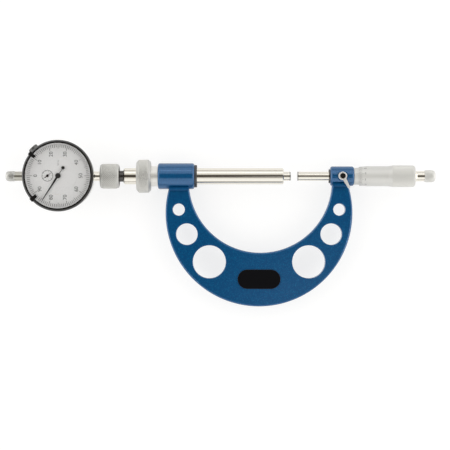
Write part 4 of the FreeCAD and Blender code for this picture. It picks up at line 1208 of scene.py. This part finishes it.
class MICROMETER_OT_stage(bpy.types.Operator):
    """Lays the pale floor, hangs the lamps and sets up the camera above the object"""

    bl_idname = "micrometer.stage"
    bl_label = "Stage"

    def execute(self, context):
        studio = context.scene.micrometer_studio
        knurl_room = 0.5 * MM
        level = CAD_BOX[0].z - knurl_room
        reach = 3.0
        mesh = bpy.data.meshes.new("floor")
        corners = ((-reach, -reach), (reach, -reach), (reach, reach), (-reach, reach))
        mesh.from_pydata([(x, y, level) for x, y in corners], [], [(0, 1, 2, 3)])
        floor = bpy.data.objects.new("floor", mesh)
        context.scene.collection.objects.link(floor)
        mesh.materials.append(floor_finish(studio))
        room(context.scene, studio)
        lamp("broad_lamp", (0.0, -1.15, 0.75), (1.9, 0.75), studio.broad_light)
        lamp("strip_lamp", (0.0, 0.95, 0.8), (1.9, 0.1), studio.strip_light)
        lamp("glint_lamp", (0.1, -0.2, 1.65), (0.25, 0.18), studio.glint_light)
        lens = bpy.data.cameras.new("camera")
        lens.sensor_width = 36
        lens.lens = lens.sensor_width * studio.distance / studio.view_width
        camera = bpy.data.objects.new("camera", lens)
        camera.location = (studio.view_x, studio.view_y, studio.distance)
        context.scene.collection.objects.link(camera)
        context.scene.camera = camera
        context.scene.view_settings.view_transform = "Standard"
        return {"FINISHED"}


def seen(tree):
    """1 on the rays that show the floor: straight to the camera, mirrored, or through glass."""
    path = node(tree, "ShaderNodeLightPath")
    direct = maths(tree, "MAXIMUM", path.outputs["Is Camera Ray"], path.outputs["Is Glossy Ray"])
    return maths(tree, "MAXIMUM", direct, path.outputs["Is Transmission Ray"])


def floor_finish(studio):
    """Pale plain floor that keeps the object's shadow."""

    def build(tree, shader):
        grey = (0.30, 0.30, 0.30, 1)
        glow = times(tree, seen(tree), studio.floor_lift)
        fill(tree, shader, {"Base Color": grey, "Roughness": 0.9, "Specular IOR Level": 0.0})
        fill(tree, shader, {"Emission Color": (1, 1, 1, 1), "Emission Strength": glow})

    return finish_named("Pale floor", build)


def room(scene, studio):
    """The studio round the object: pale walls, a dim slot overhead and a warm band at the horizon."""
    world = bpy.data.worlds.new("Studio room")
    scene.world = world
    world.use_nodes = True
    tree = world.node_tree
    direction = node(tree, "ShaderNodeTexCoord").outputs["Generated"]
    parts = node(tree, "ShaderNodeSeparateXYZ", {0: direction})
    across = maths(tree, "ABSOLUTE", parts.outputs["Y"])
    along = times(tree, maths(tree, "ABSOLUTE", parts.outputs["X"]), 0.8)
    side = maths(tree, "MAXIMUM", across, along)
    overhead = maths(tree, "GREATER_THAN", parts.outputs["Z"], 0.0)
    slot = ramp(
        tree,
        side,
        [
            (0.0, (0.04, 0.035, 0.03)),
            (0.28, (0.09, 0.078, 0.066)),
            (0.42, (0.95, 0.93, 0.88)),
            (0.8, (1, 1, 1)),
        ],
    )
    walls = ramp(
        tree,
        plus(tree, times(tree, parts.outputs["Z"], 0.5), 0.5),
        [
            (0.42, (0.95, 0.94, 0.92)),
            (0.49, (0.36, 0.31, 0.26)),
            (0.55, (0.40, 0.35, 0.30)),
            (0.60, (1, 1, 1)),
        ],
    )
    dimmed = mix(tree, overhead, (1, 1, 1), slot)
    ends = node(
        tree,
        "ShaderNodeMapRange",
        {"Value": along, "From Min": 0.4, "From Max": 0.7, "To Min": 1.0, "To Max": studio.end_walls},
        interpolation_type="SMOOTHSTEP",
    )
    lit = node(tree, "ShaderNodeVectorMath", {0: dimmed, 1: ends.outputs[0]}, operation="MULTIPLY")
    product = node(tree, "ShaderNodeVectorMath", {0: walls, 1: lit.outputs[0]}, operation="MULTIPLY")
    camera_ray = node(tree, "ShaderNodeLightPath").outputs["Is Camera Ray"]
    shown = mix(tree, camera_ray, product.outputs[0], (1, 1, 1))
    strength = node(
        tree,
        "ShaderNodeMapRange",
        {"Value": camera_ray, "To Min": studio.room_light, "To Max": 1.0},
    )
    fill(tree, tree.nodes["Background"], {"Color": shown, "Strength": strength.outputs[0]})


def lamp(name, place, size, power):
    """A soft rectangular lamp that faces the middle of the measuring line."""
    data = bpy.data.lights.new(name, "AREA")
    data.shape = "RECTANGLE"
    data.size = size[0]
    data.size_y = size[1]
    data.energy = power
    made = bpy.data.objects.new(name, data)
    made.location = place
    made.rotation_euler = (-Vector(place)).to_track_quat("-Z", "Y").to_euler()
    bpy.context.scene.collection.objects.link(made)


class MICROMETER_PT_panel(bpy.types.Panel):
    """Lists the pieces and their settings"""

    bl_idname = "MICROMETER_PT_panel"
    bl_label = "Micrometer"
    bl_space_type = "VIEW_3D"
    bl_region_type = "UI"
    bl_category = "Micrometer"

    def draw(self, context):
        layout = self.layout
        for operator in OPERATORS:
            layout.operator(operator.bl_idname)
        for group in ("micrometer_sizes", "micrometer_finish", "micrometer_studio"):
            settings = getattr(context.scene, group)
            box = layout.box()
            for name in settings.__annotations__:
                box.prop(settings, name)


OPERATORS = (
    MICROMETER_OT_stage,
    MICROMETER_OT_bow,
    MICROMETER_OT_fillets,
    MICROMETER_OT_anvil_side,
    MICROMETER_OT_springs,
    MICROMETER_OT_nuts,
    MICROMETER_OT_head,
    MICROMETER_OT_head_scale,
    MICROMETER_OT_lock,
    MICROMETER_OT_indicator,
    MICROMETER_OT_bezel,
    MICROMETER_OT_dial,
)
CLASSES = (Sizes, Finish, Studio, *OPERATORS, MICROMETER_PT_panel)


def register():
    for each in CLASSES:
        bpy.utils.register_class(each)
    bpy.types.Scene.micrometer_sizes = bpy.props.PointerProperty(type=Sizes)
    bpy.types.Scene.micrometer_finish = bpy.props.PointerProperty(type=Finish)
    bpy.types.Scene.micrometer_studio = bpy.props.PointerProperty(type=Studio)


def unregister():
    del bpy.types.Scene.micrometer_studio
    del bpy.types.Scene.micrometer_finish
    del bpy.types.Scene.micrometer_sizes
    for each in reversed(CLASSES):
        bpy.utils.unregister_class(each)


def main():
    register()
    bpy.ops.micrometer.stage()
    bpy.ops.micrometer.bow()
    bpy.ops.micrometer.fillets()
    bpy.ops.micrometer.anvil_side()
    bpy.ops.micrometer.springs()
    bpy.ops.micrometer.nuts()
    bpy.ops.micrometer.head()
    bpy.ops.micrometer.head_scale()
    bpy.ops.micrometer.lock()
    bpy.ops.micrometer.indicator()
    bpy.ops.micrometer.bezel()
    bpy.ops.micrometer.dial()


if __name__ == "__main__":
    main()
